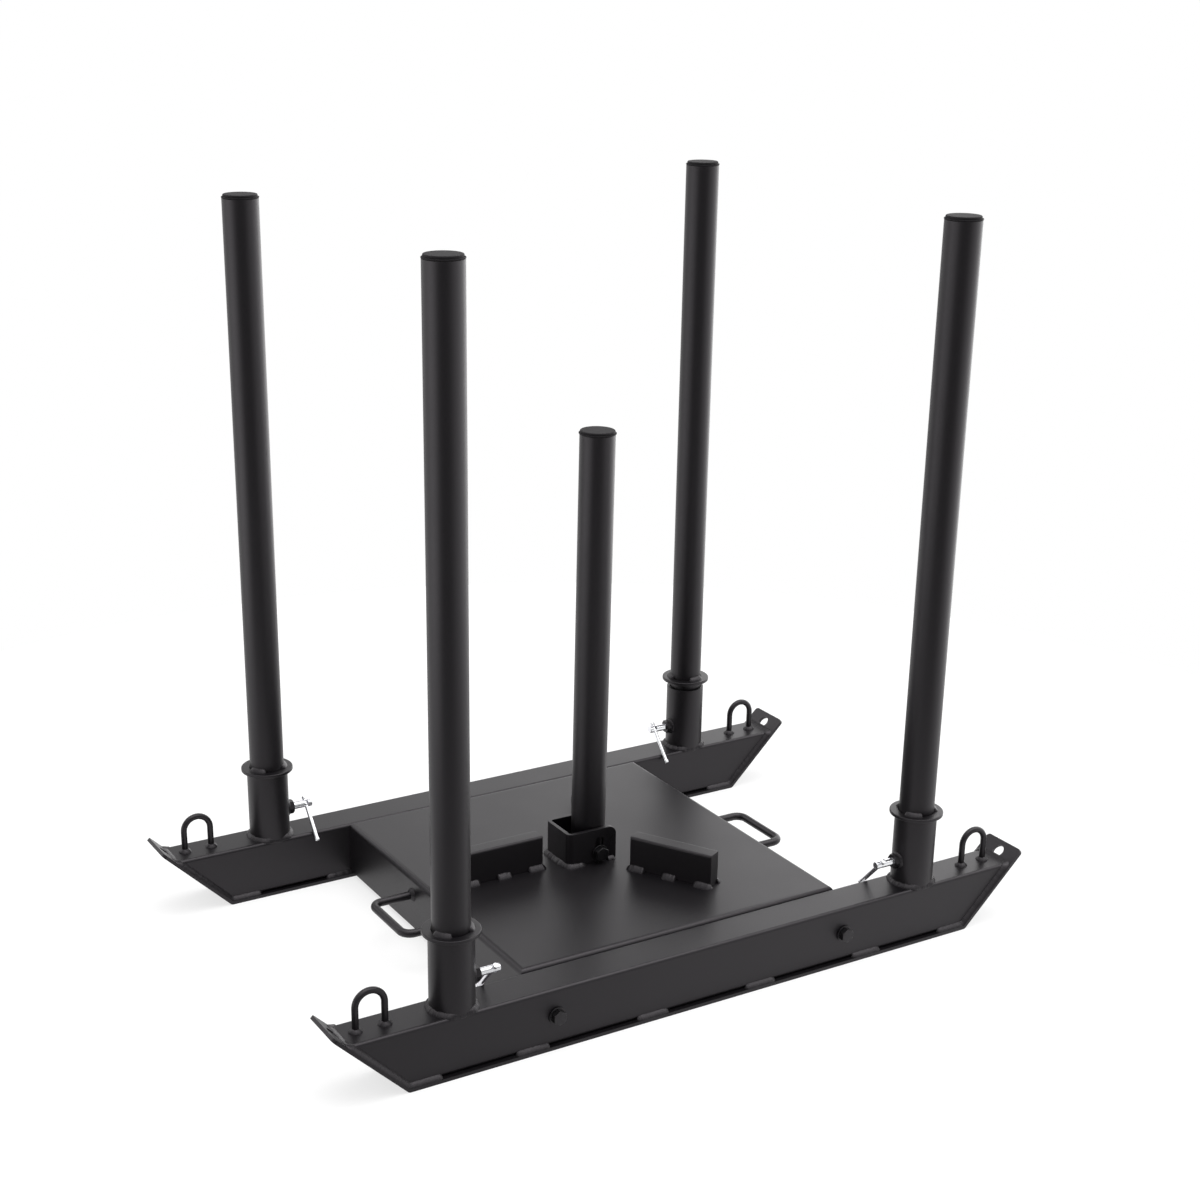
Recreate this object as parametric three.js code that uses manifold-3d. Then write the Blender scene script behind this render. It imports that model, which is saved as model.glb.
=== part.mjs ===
// A push sled: two bent skid plates carry box-section runners, a folded tray joins the runners,
// four poles stand in clamped sleeves, and a post for weight plates folds down in the middle.
// Millimetres. X runs across the sled, Y along the runners and Z up. The origin is on the ground
// under the middle of the sled, the front is towards -Y and the right is towards +X.

import * as THREE from 'three';
import { mergeVertices } from 'three/addons/utils/BufferGeometryUtils.js';
import Module from 'manifold-3d';

const wasm = await Module();
wasm.setup();

// Fits
const FIT_GAP = 0.3;
const BOLT_HOLE_CLEARANCE = 1;
const CUT_OVERRUN = 6;

// Facets
const TUBE_SIDES = 28;
const ROD_SIDES = 10;
const SCREW_SIDES = 16;
const CORNER_STEPS = 2;
const LOOP_STEPS = 22;
const HANDLE_STEPS = 28;

// Skid plates
const SKID_WIDTH = 72;
const SKID_THICKNESS = 5;
const SKID_FLAT_LENGTH = 905;
const SKID_RAMP_LENGTH = 143;
const SKID_RAMP_ANGLE = Math.PI / 4;
const SKID_BEND_RADIUS = 2;
const SKID_TIP_CORNER = 6;
const TOW_HOLE_DIAMETER = 19;
const TOW_HOLE_INSET = 17;

// Runner tubes
const RUNNER_SPACING = 596;
const RUNNER_WIDTH = 60;
const RUNNER_HEIGHT = 80;
const RUNNER_WALL = 3;
const RUNNER_CORNER = 5;

// Weight tray. Its setback is measured from where the skids' ramps begin.
const TRAY_SETBACK = 196.5;
const TRAY_TOP = 88;
const TRAY_DEPTH = 80;
const TRAY_SHEET = 3;
const TRAY_BEND = 5;

// Side bolts that hold the tray between the runners. They all sit a little nearer the front end.
const SIDE_BOLT_DIAMETER = 12;
const SIDE_BOLT_INSET = 22.5;
const SIDE_BOLT_SHIFT = -3;
const SIDE_BOLT_HEIGHT = 47;
const SIDE_HEAD_ACROSS = 18;
const SIDE_HEAD_HEIGHT = 7.5;
const SIDE_WASHER_DIAMETER = 24;
const SIDE_WASHER_THICKNESS = 2.5;
const SIDE_NUT_THICKNESS = 10;
const SIDE_BOLT_TAIL = 4;

// Pole sleeves. Their setback is measured from where the ramps begin.
const POLE_SETBACK = 79.5;
const SLEEVE_DIAMETER = 60;
const SLEEVE_BORE = 52;
const SLEEVE_LENGTH = 104;

// Poles, their collars and their caps
const POLE_DIAMETER = 50;
const POLE_WALL = 3;
const POLE_LENGTH = 930;
const POLE_INSERT = 100;
const LIFTED_POLE_RISE = 11;
const COLLAR_DIAMETER = 76;
const COLLAR_THICKNESS = 5;
const COLLAR_EDGE = 1;
const CAP_RIM_OVERHANG = 0.4;
const CAP_RIM_HEIGHT = 1.5;
const CAP_HEAD_DIAMETER = 47;
const CAP_HEAD_HEIGHT = 3.5;
const CAP_EDGE = 1.5;
const CAP_PLUG_LENGTH = 22;
const CAP_WALL = 2;

// Clamp screws, their nuts and their tommy bars
const CLAMP_HEIGHT = 36.5;
const CLAMP_NUT_ACROSS = 19;
const CLAMP_NUT_THICKNESS = 8;
const CLAMP_SCREW_DIAMETER = 11;
const CLAMP_SCREW_OVERHANG = 30;
const CLAMP_SCREW_CHAMFER = 1;
const CLAMP_HOLE_INSET = 9;
const TOMMY_DIAMETER = 6;
const TOMMY_LENGTH = 73;
const TOMMY_KNOB_DIAMETER = 7.5;
const TOMMY_KNOB_LENGTH = 5.5;
const TOMMY_KNOB_EDGE = 1.5;

// Tie loops on the runners. They stand past the place where the ramps begin.
const LOOP_OVERHANG = 34.5;
const LOOP_ROD = 9;
const LOOP_SPAN = 40.5;
const LOOP_HEIGHT = 56.5;

// Pull handles on the tray's end flanges
const HANDLE_ROD = 12;
const HANDLE_SPAN = 108;
const HANDLE_REACH = 64;
const HANDLE_DROP = 28.5;
const HANDLE_BEND = 15;

// Plate stops on the tray
const STOP_CENTRE = 3;
const STOP_RADIUS = 79.5;
const STOP_LENGTH = 130;
const STOP_WIDTH = 25;
const STOP_HEIGHT = 50;
const STOP_WALL = 3;
const STOP_CORNER = 2;
const STOP_TOP_EDGE = 3.5;
const STOP_ANGLES = { front: -Math.PI / 2, rear_right: Math.PI / 6, rear_left: (5 * Math.PI) / 6 };

// Centre post, its bracket and its pivot bolt
const POST_CENTRE = 6;
const POST_LENGTH = 630;
const POST_CAP_RIM_OVERHANG = 1.2;
const POST_CAP_HEAD_DIAMETER = 49;
const POST_SIDE_PLAY = 2.5;
const POST_LEAN = THREE.MathUtils.degToRad(0.55);
const PIVOT_HEIGHT = 15;
const PIVOT_TRAVEL = 18;
const PIVOT_DIAMETER = 12;
const PIVOT_HEAD_ACROSS = 19;
const PIVOT_HEAD_HEIGHT = 7.5;
const PIVOT_WASHER_DIAMETER = 24;
const PIVOT_WASHER_THICKNESS = 2.5;
const PIVOT_NUT_THICKNESS = 10;
const PIVOT_BOLT_TAIL = 4;
const BRACKET_PLATE = 6;
const BRACKET_LENGTH = 81;
const BRACKET_HEIGHT = 52;
const BRACKET_BACK = 52.5;
const BRACKET_BEND = 3;
const BRACKET_EAR = 13;

// Places worked out from the sizes
const TRAY_LENGTH = SKID_FLAT_LENGTH - 2 * TRAY_SETBACK;
const SIDE_BOLT_SPREAD = TRAY_LENGTH - 2 * SIDE_BOLT_INSET;
const POLE_SPREAD = SKID_FLAT_LENGTH - 2 * POLE_SETBACK;
const LOOP_SPREAD = SKID_FLAT_LENGTH + 2 * LOOP_OVERHANG;
const RUNNER_BASE = SKID_THICKNESS + FIT_GAP;
const RUNNER_TOP = RUNNER_BASE + RUNNER_HEIGHT;
const TRAY_WIDTH = RUNNER_SPACING - RUNNER_WIDTH - 2 * FIT_GAP;
const SLEEVE_BASE = RUNNER_TOP + FIT_GAP;
const COLLAR_BASE = SLEEVE_BASE + SLEEVE_LENGTH + FIT_GAP;
const CLAMP_AXIS = RUNNER_TOP + CLAMP_HEIGHT;
const CLAMP_SCREW_END = SLEEVE_DIAMETER / 2 + FIT_GAP + CLAMP_NUT_THICKNESS + CLAMP_SCREW_OVERHANG;
const CLAMP_HOLE_PLACE = CLAMP_SCREW_END - CLAMP_HOLE_INSET;
const BRACKET_WIDTH = POLE_DIAMETER + 2 * (POST_SIDE_PLAY + BRACKET_PLATE);

// A tommy bar leans over the rounded inner edge of its runner, just so far that its knob can pass.
const LEAN_ACROSS = RUNNER_WIDTH / 2 - RUNNER_CORNER;
const LEAN_DOWN = CLAMP_HEIGHT + RUNNER_CORNER;
const LEAN_REACH = RUNNER_CORNER + FIT_GAP + TOMMY_KNOB_DIAMETER / 2;
const TOMMY_LEAN = Math.atan2(LEAN_ACROSS, LEAN_DOWN) +
  Math.asin(LEAN_REACH / Math.hypot(LEAN_ACROSS, LEAN_DOWN));

// Finishes
const FINISHES = {
  powderCoat: { color: 0x2c2a2c, roughness: 0.55, metalness: 0.0 },
  runningSteel: { color: 0x2a282a, roughness: 0.5, metalness: 0.2 },
  blackPlastic: { color: 0x1b1b1c, roughness: 0.45, metalness: 0.0 },
  brightZinc: { color: 0xc9ccd0, roughness: 0.25, metalness: 1.0 },
  blackOxide: { color: 0x18181a, roughness: 0.4, metalness: 0.8 },
};

// Solids

// Turns a closed geometry into a solid that can be joined or cut.
function solidFrom(geometry) {
  const bare = geometry.clone();
  bare.deleteAttribute('normal');
  bare.deleteAttribute('uv');
  const welded = mergeVertices(bare);
  const corners = welded.index.array;
  const kept = [];
  for (let i = 0; i < corners.length; i += 3) {
    const [a, b, c] = [corners[i], corners[i + 1], corners[i + 2]];
    if (a !== b && b !== c && c !== a) kept.push(a, b, c);
  }
  const vertProperties = new Float32Array(welded.getAttribute('position').array);
  const triVerts = new Uint32Array(kept);
  return new wasm.Manifold(new wasm.Mesh({ numProp: 3, vertProperties, triVerts }));
}

// Turns a solid back into a flat-shaded geometry.
function geometryFrom(solid) {
  const mesh = solid.getMesh();
  const indexed = new THREE.BufferGeometry();
  indexed.setAttribute('position', new THREE.BufferAttribute(mesh.vertProperties, mesh.numProp));
  indexed.setIndex(new THREE.BufferAttribute(mesh.triVerts, 1));
  const geometry = indexed.toNonIndexed();
  geometry.computeVertexNormals();
  return geometry;
}

function cut(body, ...tools) {
  return tools.reduce((solid, tool) => solid.subtract(tool), body);
}

// A closed outline of radius and height, turned round the Z axis.
function turned(outline, sides) {
  const points = outline.map(([radius, height]) => new THREE.Vector2(radius, height));
  return solidFrom(new THREE.LatheGeometry(points, sides).rotateX(Math.PI / 2));
}

function roundBar(diameter, start, end, sides) {
  const radius = diameter / 2;
  return turned([[0, start], [radius, start], [radius, end], [0, end]], sides);
}

function ring(outer, bore, start, end, sides) {
  const outside = outer / 2;
  const inside = bore / 2;
  return turned([[inside, start], [outside, start], [outside, end], [inside, end], [inside, start]], sides);
}

function hexBar(across, start, end) {
  return roundBar((2 * across) / Math.sqrt(3), start, end, 6);
}

// Turns a solid made along Z so that it points along X or along Y.
function alongX(solid) {
  return solid.rotate([0, 90, 0]);
}

function alongY(solid) {
  return solid.rotate([-90, 0, 0]);
}

// Outlines

function rectangle(left, bottom, right, top) {
  const shape = new THREE.Shape();
  shape.moveTo(left, bottom);
  shape.lineTo(right, bottom);
  shape.lineTo(right, top);
  shape.lineTo(left, top);
  return shape;
}

function roundedRectangle(left, bottom, right, top, radius) {
  const shape = new THREE.Shape();
  shape.moveTo(left + radius, bottom);
  shape.lineTo(right - radius, bottom);
  shape.absarc(right - radius, bottom + radius, radius, -Math.PI / 2, 0, false);
  shape.lineTo(right, top - radius);
  shape.absarc(right - radius, top - radius, radius, 0, Math.PI / 2, false);
  shape.lineTo(left + radius, top);
  shape.absarc(left + radius, top - radius, radius, Math.PI / 2, Math.PI, false);
  shape.lineTo(left, bottom + radius);
  shape.absarc(left + radius, bottom + radius, radius, Math.PI, (3 * Math.PI) / 2, false);
  return shape;
}

// A block outline with its two upper corners rounded.
function domedRectangle(left, bottom, right, top, radius) {
  const shape = new THREE.Shape();
  shape.moveTo(left, bottom);
  shape.lineTo(right, bottom);
  shape.lineTo(right, top - radius);
  shape.absarc(right - radius, top - radius, radius, 0, Math.PI / 2, false);
  shape.lineTo(left + radius, top);
  shape.absarc(left + radius, top - radius, radius, Math.PI / 2, Math.PI, false);
  return shape;
}

function circle(x, y, diameter) {
  const shape = new THREE.Shape();
  shape.absarc(x, y, diameter / 2, 0, 2 * Math.PI, false);
  return shape;
}

// Prisms

function extruded(shape, depth) {
  return new THREE.ExtrudeGeometry(shape, { depth, bevelEnabled: false, curveSegments: CORNER_STEPS });
}

// An outline drawn in X and Y, from one height to another.
function uprightPrism(shape, bottom, top) {
  return solidFrom(extruded(shape, top - bottom).translate(0, 0, bottom));
}

// An outline drawn in Y and Z, centred across the sled.
function sidePrism(shape, width) {
  const turn = new THREE.Matrix4().makeBasis(
    new THREE.Vector3(0, 1, 0), new THREE.Vector3(0, 0, 1), new THREE.Vector3(1, 0, 0));
  return solidFrom(extruded(shape, width).translate(0, 0, -width / 2).applyMatrix4(turn));
}

// An outline drawn in X and Z, centred along the sled.
function frontPrism(shape, length) {
  const turn = new THREE.Matrix4().makeBasis(
    new THREE.Vector3(1, 0, 0), new THREE.Vector3(0, 0, 1), new THREE.Vector3(0, -1, 0));
  return solidFrom(extruded(shape, length).translate(0, 0, -length / 2).applyMatrix4(turn));
}

// A round rod along a path.
function bentRod(path, diameter, steps) {
  const section = new THREE.Shape();
  section.absarc(0, 0, diameter / 2, 0, 2 * Math.PI, false);
  const settings = { extrudePath: path, steps, curveSegments: ROD_SIDES / 2, bevelEnabled: false };
  return solidFrom(new THREE.ExtrudeGeometry(section, settings));
}

// Skid plates and runner tubes

// Where a line at some height above the ramp's underside crosses a level.
function rampPlace(offset, level) {
  const along = (level - offset * Math.cos(SKID_RAMP_ANGLE)) / Math.tan(SKID_RAMP_ANGLE);
  return SKID_FLAT_LENGTH / 2 - offset * Math.sin(SKID_RAMP_ANGLE) + along;
}

// The bent strip seen from the side.
function skidOutline() {
  const outer = SKID_BEND_RADIUS + SKID_THICKNESS;
  const bend = SKID_FLAT_LENGTH / 2 - outer * Math.tan(SKID_RAMP_ANGLE / 2);
  const tip = SKID_FLAT_LENGTH / 2 + SKID_RAMP_LENGTH * Math.cos(SKID_RAMP_ANGLE);
  const tipHeight = SKID_RAMP_LENGTH * Math.sin(SKID_RAMP_ANGLE);
  const back = SKID_THICKNESS * Math.sin(SKID_RAMP_ANGLE);
  const rise = SKID_THICKNESS * Math.cos(SKID_RAMP_ANGLE);
  const down = -Math.PI / 2;
  const shape = new THREE.Shape();
  shape.moveTo(-bend, 0);
  shape.lineTo(bend, 0);
  shape.absarc(bend, outer, outer, down, down + SKID_RAMP_ANGLE, false);
  shape.lineTo(tip, tipHeight);
  shape.lineTo(tip - back, tipHeight + rise);
  shape.absarc(bend, outer, SKID_BEND_RADIUS, down + SKID_RAMP_ANGLE, down, true);
  shape.lineTo(-bend, SKID_THICKNESS);
  shape.absarc(-bend, outer, SKID_BEND_RADIUS, down, down - SKID_RAMP_ANGLE, true);
  shape.lineTo(-tip + back, tipHeight + rise);
  shape.lineTo(-tip, tipHeight);
  shape.absarc(-bend, outer, outer, down - SKID_RAMP_ANGLE, down, false);
  return shape;
}

// Rounds a tip's corners and drills its tow hole, as one tool in the ramp's own plane.
function tipTool() {
  const half = SKID_WIDTH / 2;
  const below = -CUT_OVERRUN;
  const above = SKID_THICKNESS + CUT_OVERRUN;
  const band = rectangle(-half - CUT_OVERRUN, -SKID_TIP_CORNER, half + CUT_OVERRUN, CUT_OVERRUN);
  const kept = roundedRectangle(-half, -SKID_WIDTH, half, 0, SKID_TIP_CORNER);
  const corners = uprightPrism(band, below, above).subtract(uprightPrism(kept, below - CUT_OVERRUN,
    above + CUT_OVERRUN));
  const hole = roundBar(TOW_HOLE_DIAMETER, below, above, SCREW_SIDES).translate([0, -TOW_HOLE_INSET, 0]);
  const tip = SKID_FLAT_LENGTH / 2 + SKID_RAMP_LENGTH * Math.cos(SKID_RAMP_ANGLE);
  const tipHeight = SKID_RAMP_LENGTH * Math.sin(SKID_RAMP_ANGLE);
  const slope = THREE.MathUtils.radToDeg(SKID_RAMP_ANGLE);
  return corners.add(hole).rotate([slope, 0, 0]).translate([0, tip, tipHeight]);
}

function skidPlate() {
  const tool = tipTool();
  return cut(sidePrism(skidOutline(), SKID_WIDTH), tool, tool.rotate([0, 0, 180]));
}

// Cuts a runner's end parallel to the ramp, a fit gap above it.
function runnerEndTool() {
  const offset = SKID_THICKNESS + FIT_GAP;
  const low = RUNNER_BASE - CUT_OVERRUN;
  const high = RUNNER_TOP + CUT_OVERRUN;
  const far = SKID_FLAT_LENGTH / 2 + SKID_RAMP_LENGTH;
  const shape = new THREE.Shape();
  shape.moveTo(rampPlace(offset, low), low);
  shape.lineTo(far, low);
  shape.lineTo(far, high);
  shape.lineTo(rampPlace(offset, high), high);
  return sidePrism(shape, RUNNER_WIDTH + 2 * CUT_OVERRUN);
}

function runnerTube() {
  const half = RUNNER_WIDTH / 2;
  const section = roundedRectangle(-half, RUNNER_BASE, half, RUNNER_TOP, RUNNER_CORNER);
  const inside = half - RUNNER_WALL;
  const bore = roundedRectangle(-inside, RUNNER_BASE + RUNNER_WALL, inside, RUNNER_TOP - RUNNER_WALL,
    RUNNER_CORNER - RUNNER_WALL);
  section.holes.push(bore);
  const end = runnerEndTool();
  const blank = frontPrism(section, SKID_FLAT_LENGTH + 2 * RUNNER_TOP);
  return cut(blank, end, end.rotate([0, 0, 180]), ...sideBoltHoles(RUNNER_WIDTH));
}

// Holes across a piece for the side bolts.
function sideBoltHoles(width) {
  const reach = width / 2 + CUT_OVERRUN;
  const hole = alongX(roundBar(SIDE_BOLT_DIAMETER + BOLT_HOLE_CLEARANCE, -reach, reach, SCREW_SIDES));
  return [-1, 1].map((end) => hole.translate([0, sideBoltPlace(end), SIDE_BOLT_HEIGHT]));
}

function sideBoltPlace(end) {
  return (end * SIDE_BOLT_SPREAD) / 2 + SIDE_BOLT_SHIFT;
}

// Weight tray

// A block with its four upper edges rounded.
function domedBlock(width, length, bottom, top, radius) {
  const side = domedRectangle(-length / 2, bottom, length / 2, top, radius);
  const front = domedRectangle(-width / 2, bottom, width / 2, top, radius);
  return sidePrism(side, width).intersect(frontPrism(front, length));
}

function weightTray() {
  const bottom = TRAY_TOP - TRAY_DEPTH;
  const outside = domedBlock(TRAY_WIDTH, TRAY_LENGTH, bottom, TRAY_TOP, TRAY_BEND + TRAY_SHEET);
  const inside = domedBlock(TRAY_WIDTH - 2 * TRAY_SHEET, TRAY_LENGTH - 2 * TRAY_SHEET,
    bottom - CUT_OVERRUN, TRAY_TOP - TRAY_SHEET, TRAY_BEND);
  return cut(outside, inside, ...sideBoltHoles(TRAY_WIDTH));
}

// Bolts, washers and nuts

// A hexagon bolt along Z: the underside of its head is at zero and the shank runs down.
function hexBolt(diameter, across, headHeight, shank) {
  const head = hexBar(across, 0, headHeight);
  const stem = roundBar(diameter, -shank, headHeight / 2, SCREW_SIDES);
  return head.add(stem);
}

function hexNut(diameter, across, thickness) {
  const bore = roundBar(diameter + 2 * FIT_GAP, -CUT_OVERRUN, thickness + CUT_OVERRUN, SCREW_SIDES);
  return hexBar(across, 0, thickness).subtract(bore);
}

function flatWasher(outer, diameter, thickness) {
  return ring(outer, diameter + BOLT_HOLE_CLEARANCE, 0, thickness, SCREW_SIDES);
}

// Sleeves, poles, collars and caps

function poleSleeve() {
  const tube = ring(SLEEVE_DIAMETER, SLEEVE_BORE, 0, SLEEVE_LENGTH, TUBE_SIDES);
  const hole = alongY(roundBar(CLAMP_SCREW_DIAMETER + 2 * FIT_GAP, 0, SLEEVE_DIAMETER, SCREW_SIDES));
  return cut(tube, hole.translate([0, 0, CLAMP_AXIS - SLEEVE_BASE]));
}

function steelTube(length) {
  return ring(POLE_DIAMETER, POLE_DIAMETER - 2 * POLE_WALL, 0, length, TUBE_SIDES);
}

function poleCollar() {
  const inside = POLE_DIAMETER / 2 + FIT_GAP;
  const outside = COLLAR_DIAMETER / 2;
  return turned([
    [inside, 0],
    [outside - COLLAR_EDGE, 0],
    [outside, COLLAR_EDGE],
    [outside, COLLAR_THICKNESS - COLLAR_EDGE],
    [outside - COLLAR_EDGE, COLLAR_THICKNESS],
    [inside, COLLAR_THICKNESS],
    [inside, 0],
  ], TUBE_SIDES);
}

// A hollow plug for a tube's top end. Zero is the underside of its rim.
function tubeCap(overhang, headDiameter) {
  const plug = POLE_DIAMETER / 2 - POLE_WALL - FIT_GAP;
  const rim = POLE_DIAMETER / 2 + overhang;
  const head = headDiameter / 2;
  const top = CAP_RIM_HEIGHT + CAP_HEAD_HEIGHT;
  return turned([
    [0, top - CAP_WALL],
    [plug - CAP_WALL, top - CAP_WALL],
    [plug - CAP_WALL, -CAP_PLUG_LENGTH],
    [plug, -CAP_PLUG_LENGTH],
    [plug, 0],
    [rim, 0],
    [rim, CAP_RIM_HEIGHT],
    [head, CAP_RIM_HEIGHT],
    [head, top - CAP_EDGE],
    [head - CAP_EDGE, top],
    [0, top],
  ], TUBE_SIDES);
}

// Clamp screws and tommy bars, made round the pole's axis with the screw along +Y

function clampNut() {
  const nut = hexNut(CLAMP_SCREW_DIAMETER, CLAMP_NUT_ACROSS, CLAMP_NUT_THICKNESS);
  return alongY(nut).translate([0, SLEEVE_DIAMETER / 2 + FIT_GAP, 0]);
}

function clampScrew() {
  const radius = CLAMP_SCREW_DIAMETER / 2;
  const start = POLE_DIAMETER / 2 + FIT_GAP;
  const neck = radius - CLAMP_SCREW_CHAMFER;
  const blank = turned([
    [0, start],
    [neck, start],
    [radius, start + CLAMP_SCREW_CHAMFER],
    [radius, CLAMP_SCREW_END - CLAMP_SCREW_CHAMFER],
    [neck, CLAMP_SCREW_END],
    [0, CLAMP_SCREW_END],
  ], SCREW_SIDES);
  const hole = roundBar(TOMMY_DIAMETER + 2 * FIT_GAP, -CLAMP_SCREW_DIAMETER, CLAMP_SCREW_DIAMETER, ROD_SIDES);
  return cut(alongY(blank), hole.translate([0, CLAMP_HOLE_PLACE, 0]));
}

// The bar hangs on its upper knob. Zero is on the screw's axis.
function tommyBar() {
  const radius = TOMMY_DIAMETER / 2;
  const knob = TOMMY_KNOB_DIAMETER / 2;
  const top = CLAMP_SCREW_DIAMETER / 2 + FIT_GAP + TOMMY_KNOB_LENGTH;
  const bottom = top - TOMMY_LENGTH;
  const bar = turned([
    [0, bottom],
    [knob - TOMMY_KNOB_EDGE, bottom],
    [knob, bottom + TOMMY_KNOB_EDGE],
    [knob, bottom + TOMMY_KNOB_LENGTH - TOMMY_KNOB_EDGE],
    [radius, bottom + TOMMY_KNOB_LENGTH],
    [radius, top - TOMMY_KNOB_LENGTH],
    [knob, top - TOMMY_KNOB_LENGTH + TOMMY_KNOB_EDGE],
    [knob, top - TOMMY_KNOB_EDGE],
    [knob - TOMMY_KNOB_EDGE, top],
    [0, top],
  ], ROD_SIDES);
  return bar.translate([0, CLAMP_HOLE_PLACE, 0]);
}

// Tie loops and pull handles

// Two straight legs joined by a half circle, standing on Z = 0.
function tieLoop() {
  const bend = LOOP_SPAN / 2;
  const straight = LOOP_HEIGHT - LOOP_ROD / 2 - bend;
  const path = new THREE.CurvePath();
  const arc = new THREE.Shape();
  arc.absarc(0, straight, bend, Math.PI, 0, true);
  const crown = arc.getPoints(LOOP_STEPS / 2).map((point) => new THREE.Vector3(0, point.x, point.y));
  const foot = new THREE.Vector3(0, -bend, 0);
  const otherFoot = new THREE.Vector3(0, bend, 0);
  const places = [foot, ...crown, otherFoot];
  for (let i = 1; i < places.length; i += 1) path.add(new THREE.LineCurve3(places[i - 1], places[i]));
  return bentRod(path, LOOP_ROD, LOOP_STEPS);
}

// A U of rod in a level plane: the legs start at Y = 0 and the grip lies at the reach.
function pullHandle() {
  const half = HANDLE_SPAN / 2;
  const corner = new THREE.Shape();
  corner.moveTo(-half, 0);
  corner.lineTo(-half, -HANDLE_REACH + HANDLE_BEND);
  corner.absarc(-half + HANDLE_BEND, -HANDLE_REACH + HANDLE_BEND, HANDLE_BEND, Math.PI, 1.5 * Math.PI, false);
  corner.lineTo(half - HANDLE_BEND, -HANDLE_REACH);
  corner.absarc(half - HANDLE_BEND, -HANDLE_REACH + HANDLE_BEND, HANDLE_BEND, -Math.PI / 2, 0, false);
  corner.lineTo(half, 0);
  const places = corner.getPoints(HANDLE_STEPS / 4).map((point) => new THREE.Vector3(point.x, point.y, 0));
  const path = new THREE.CurvePath();
  for (let i = 1; i < places.length; i += 1) path.add(new THREE.LineCurve3(places[i - 1], places[i]));
  return bentRod(path, HANDLE_ROD, HANDLE_STEPS);
}

// Plate stops

// A box open underneath, lying along +X from its inner end. Its upright edges are rounded, and its
// long upper edges are eased.
function plateStop() {
  const half = STOP_WIDTH / 2;
  const plan = roundedRectangle(0, -half, STOP_LENGTH, half, STOP_CORNER);
  const eased = domedRectangle(-half, 0, half, STOP_HEIGHT, STOP_TOP_EDGE);
  const outside = uprightPrism(plan, 0, STOP_HEIGHT).intersect(sidePrism(eased, 2 * STOP_LENGTH));
  const hollow = rectangle(STOP_WALL, -half + STOP_WALL, STOP_LENGTH - STOP_WALL, half - STOP_WALL);
  return outside.subtract(uprightPrism(hollow, -CUT_OVERRUN, STOP_HEIGHT - STOP_WALL));
}

// Centre post and its bracket, made round the post's axis

// The wall outline in plan, closed towards -Y.
function bracketOutline(inset) {
  const half = BRACKET_WIDTH / 2 - inset;
  const back = -BRACKET_BACK + inset;
  const front = BRACKET_LENGTH - BRACKET_BACK + (inset > 0 ? CUT_OVERRUN : 0);
  const radius = BRACKET_BEND + BRACKET_PLATE - inset;
  const shape = new THREE.Shape();
  shape.moveTo(half, front);
  shape.lineTo(-half, front);
  shape.lineTo(-half, back + radius);
  shape.absarc(-half + radius, back + radius, radius, Math.PI, 1.5 * Math.PI, false);
  shape.lineTo(half - radius, back);
  shape.absarc(half - radius, back + radius, radius, -Math.PI / 2, 0, false);
  return shape;
}

function pivotBracket() {
  const outside = uprightPrism(bracketOutline(0), 0, BRACKET_HEIGHT);
  const inside = uprightPrism(bracketOutline(BRACKET_PLATE), -CUT_OVERRUN, BRACKET_HEIGHT + CUT_OVERRUN);
  const half = (PIVOT_DIAMETER + BOLT_HOLE_CLEARANCE) / 2;
  const low = PIVOT_HEIGHT - FIT_GAP - half;
  const slot = roundedRectangle(-half, low, half, low + 2 * half + PIVOT_TRAVEL, half);
  const open = BRACKET_LENGTH - BRACKET_BACK;
  const width = BRACKET_WIDTH + 2 * CUT_OVERRUN;
  return cut(outside, inside, sidePrism(slot, width), earTool(open, width));
}

// Rounds the free upper corners of the bracket's walls.
function earTool(open, width) {
  const top = BRACKET_HEIGHT;
  const square = rectangle(open - BRACKET_EAR, top - BRACKET_EAR, open + CUT_OVERRUN, top + CUT_OVERRUN);
  const round = circle(open - BRACKET_EAR, top - BRACKET_EAR, 2 * BRACKET_EAR);
  return sidePrism(square, width).subtract(sidePrism(round, width + CUT_OVERRUN));
}

// The open side of the post's foot is cut back at 45 degrees, so that the post can swing down over
// the tray. Zero is on the pivot's axis.
function centrePost() {
  const reach = POLE_DIAMETER / 2 + CUT_OVERRUN;
  const foot = FIT_GAP - PIVOT_HEIGHT;
  const wedge = new THREE.Shape();
  wedge.moveTo(0, foot);
  wedge.lineTo(0, foot - CUT_OVERRUN);
  wedge.lineTo(reach, foot - CUT_OVERRUN);
  wedge.lineTo(reach, foot + reach);
  const hole = alongX(roundBar(PIVOT_DIAMETER + BOLT_HOLE_CLEARANCE, -reach, reach, SCREW_SIDES));
  return cut(steelTube(POST_LENGTH).translate([0, 0, foot]), sidePrism(wedge, 2 * reach), hole);
}

// Assembly

const sled = new THREE.Group();

function node(parent, name, solid, finish) {
  const mesh = new THREE.Mesh(geometryFrom(solid), new THREE.MeshStandardMaterial(FINISHES[finish]));
  mesh.name = name;
  parent.add(mesh);
  return mesh;
}

const SIDES = { left: -1, right: 1 };
const ENDS = { front: -1, rear: 1 };

function addRunner(sideName, side) {
  const runner = new THREE.Group();
  runner.position.x = (side * RUNNER_SPACING) / 2;
  sled.add(runner);
  node(runner, `skid_plate_${sideName}`, skidPlate(), 'runningSteel');
  node(runner, `runner_tube_${sideName}`, runnerTube(), 'powderCoat');
}

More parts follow.
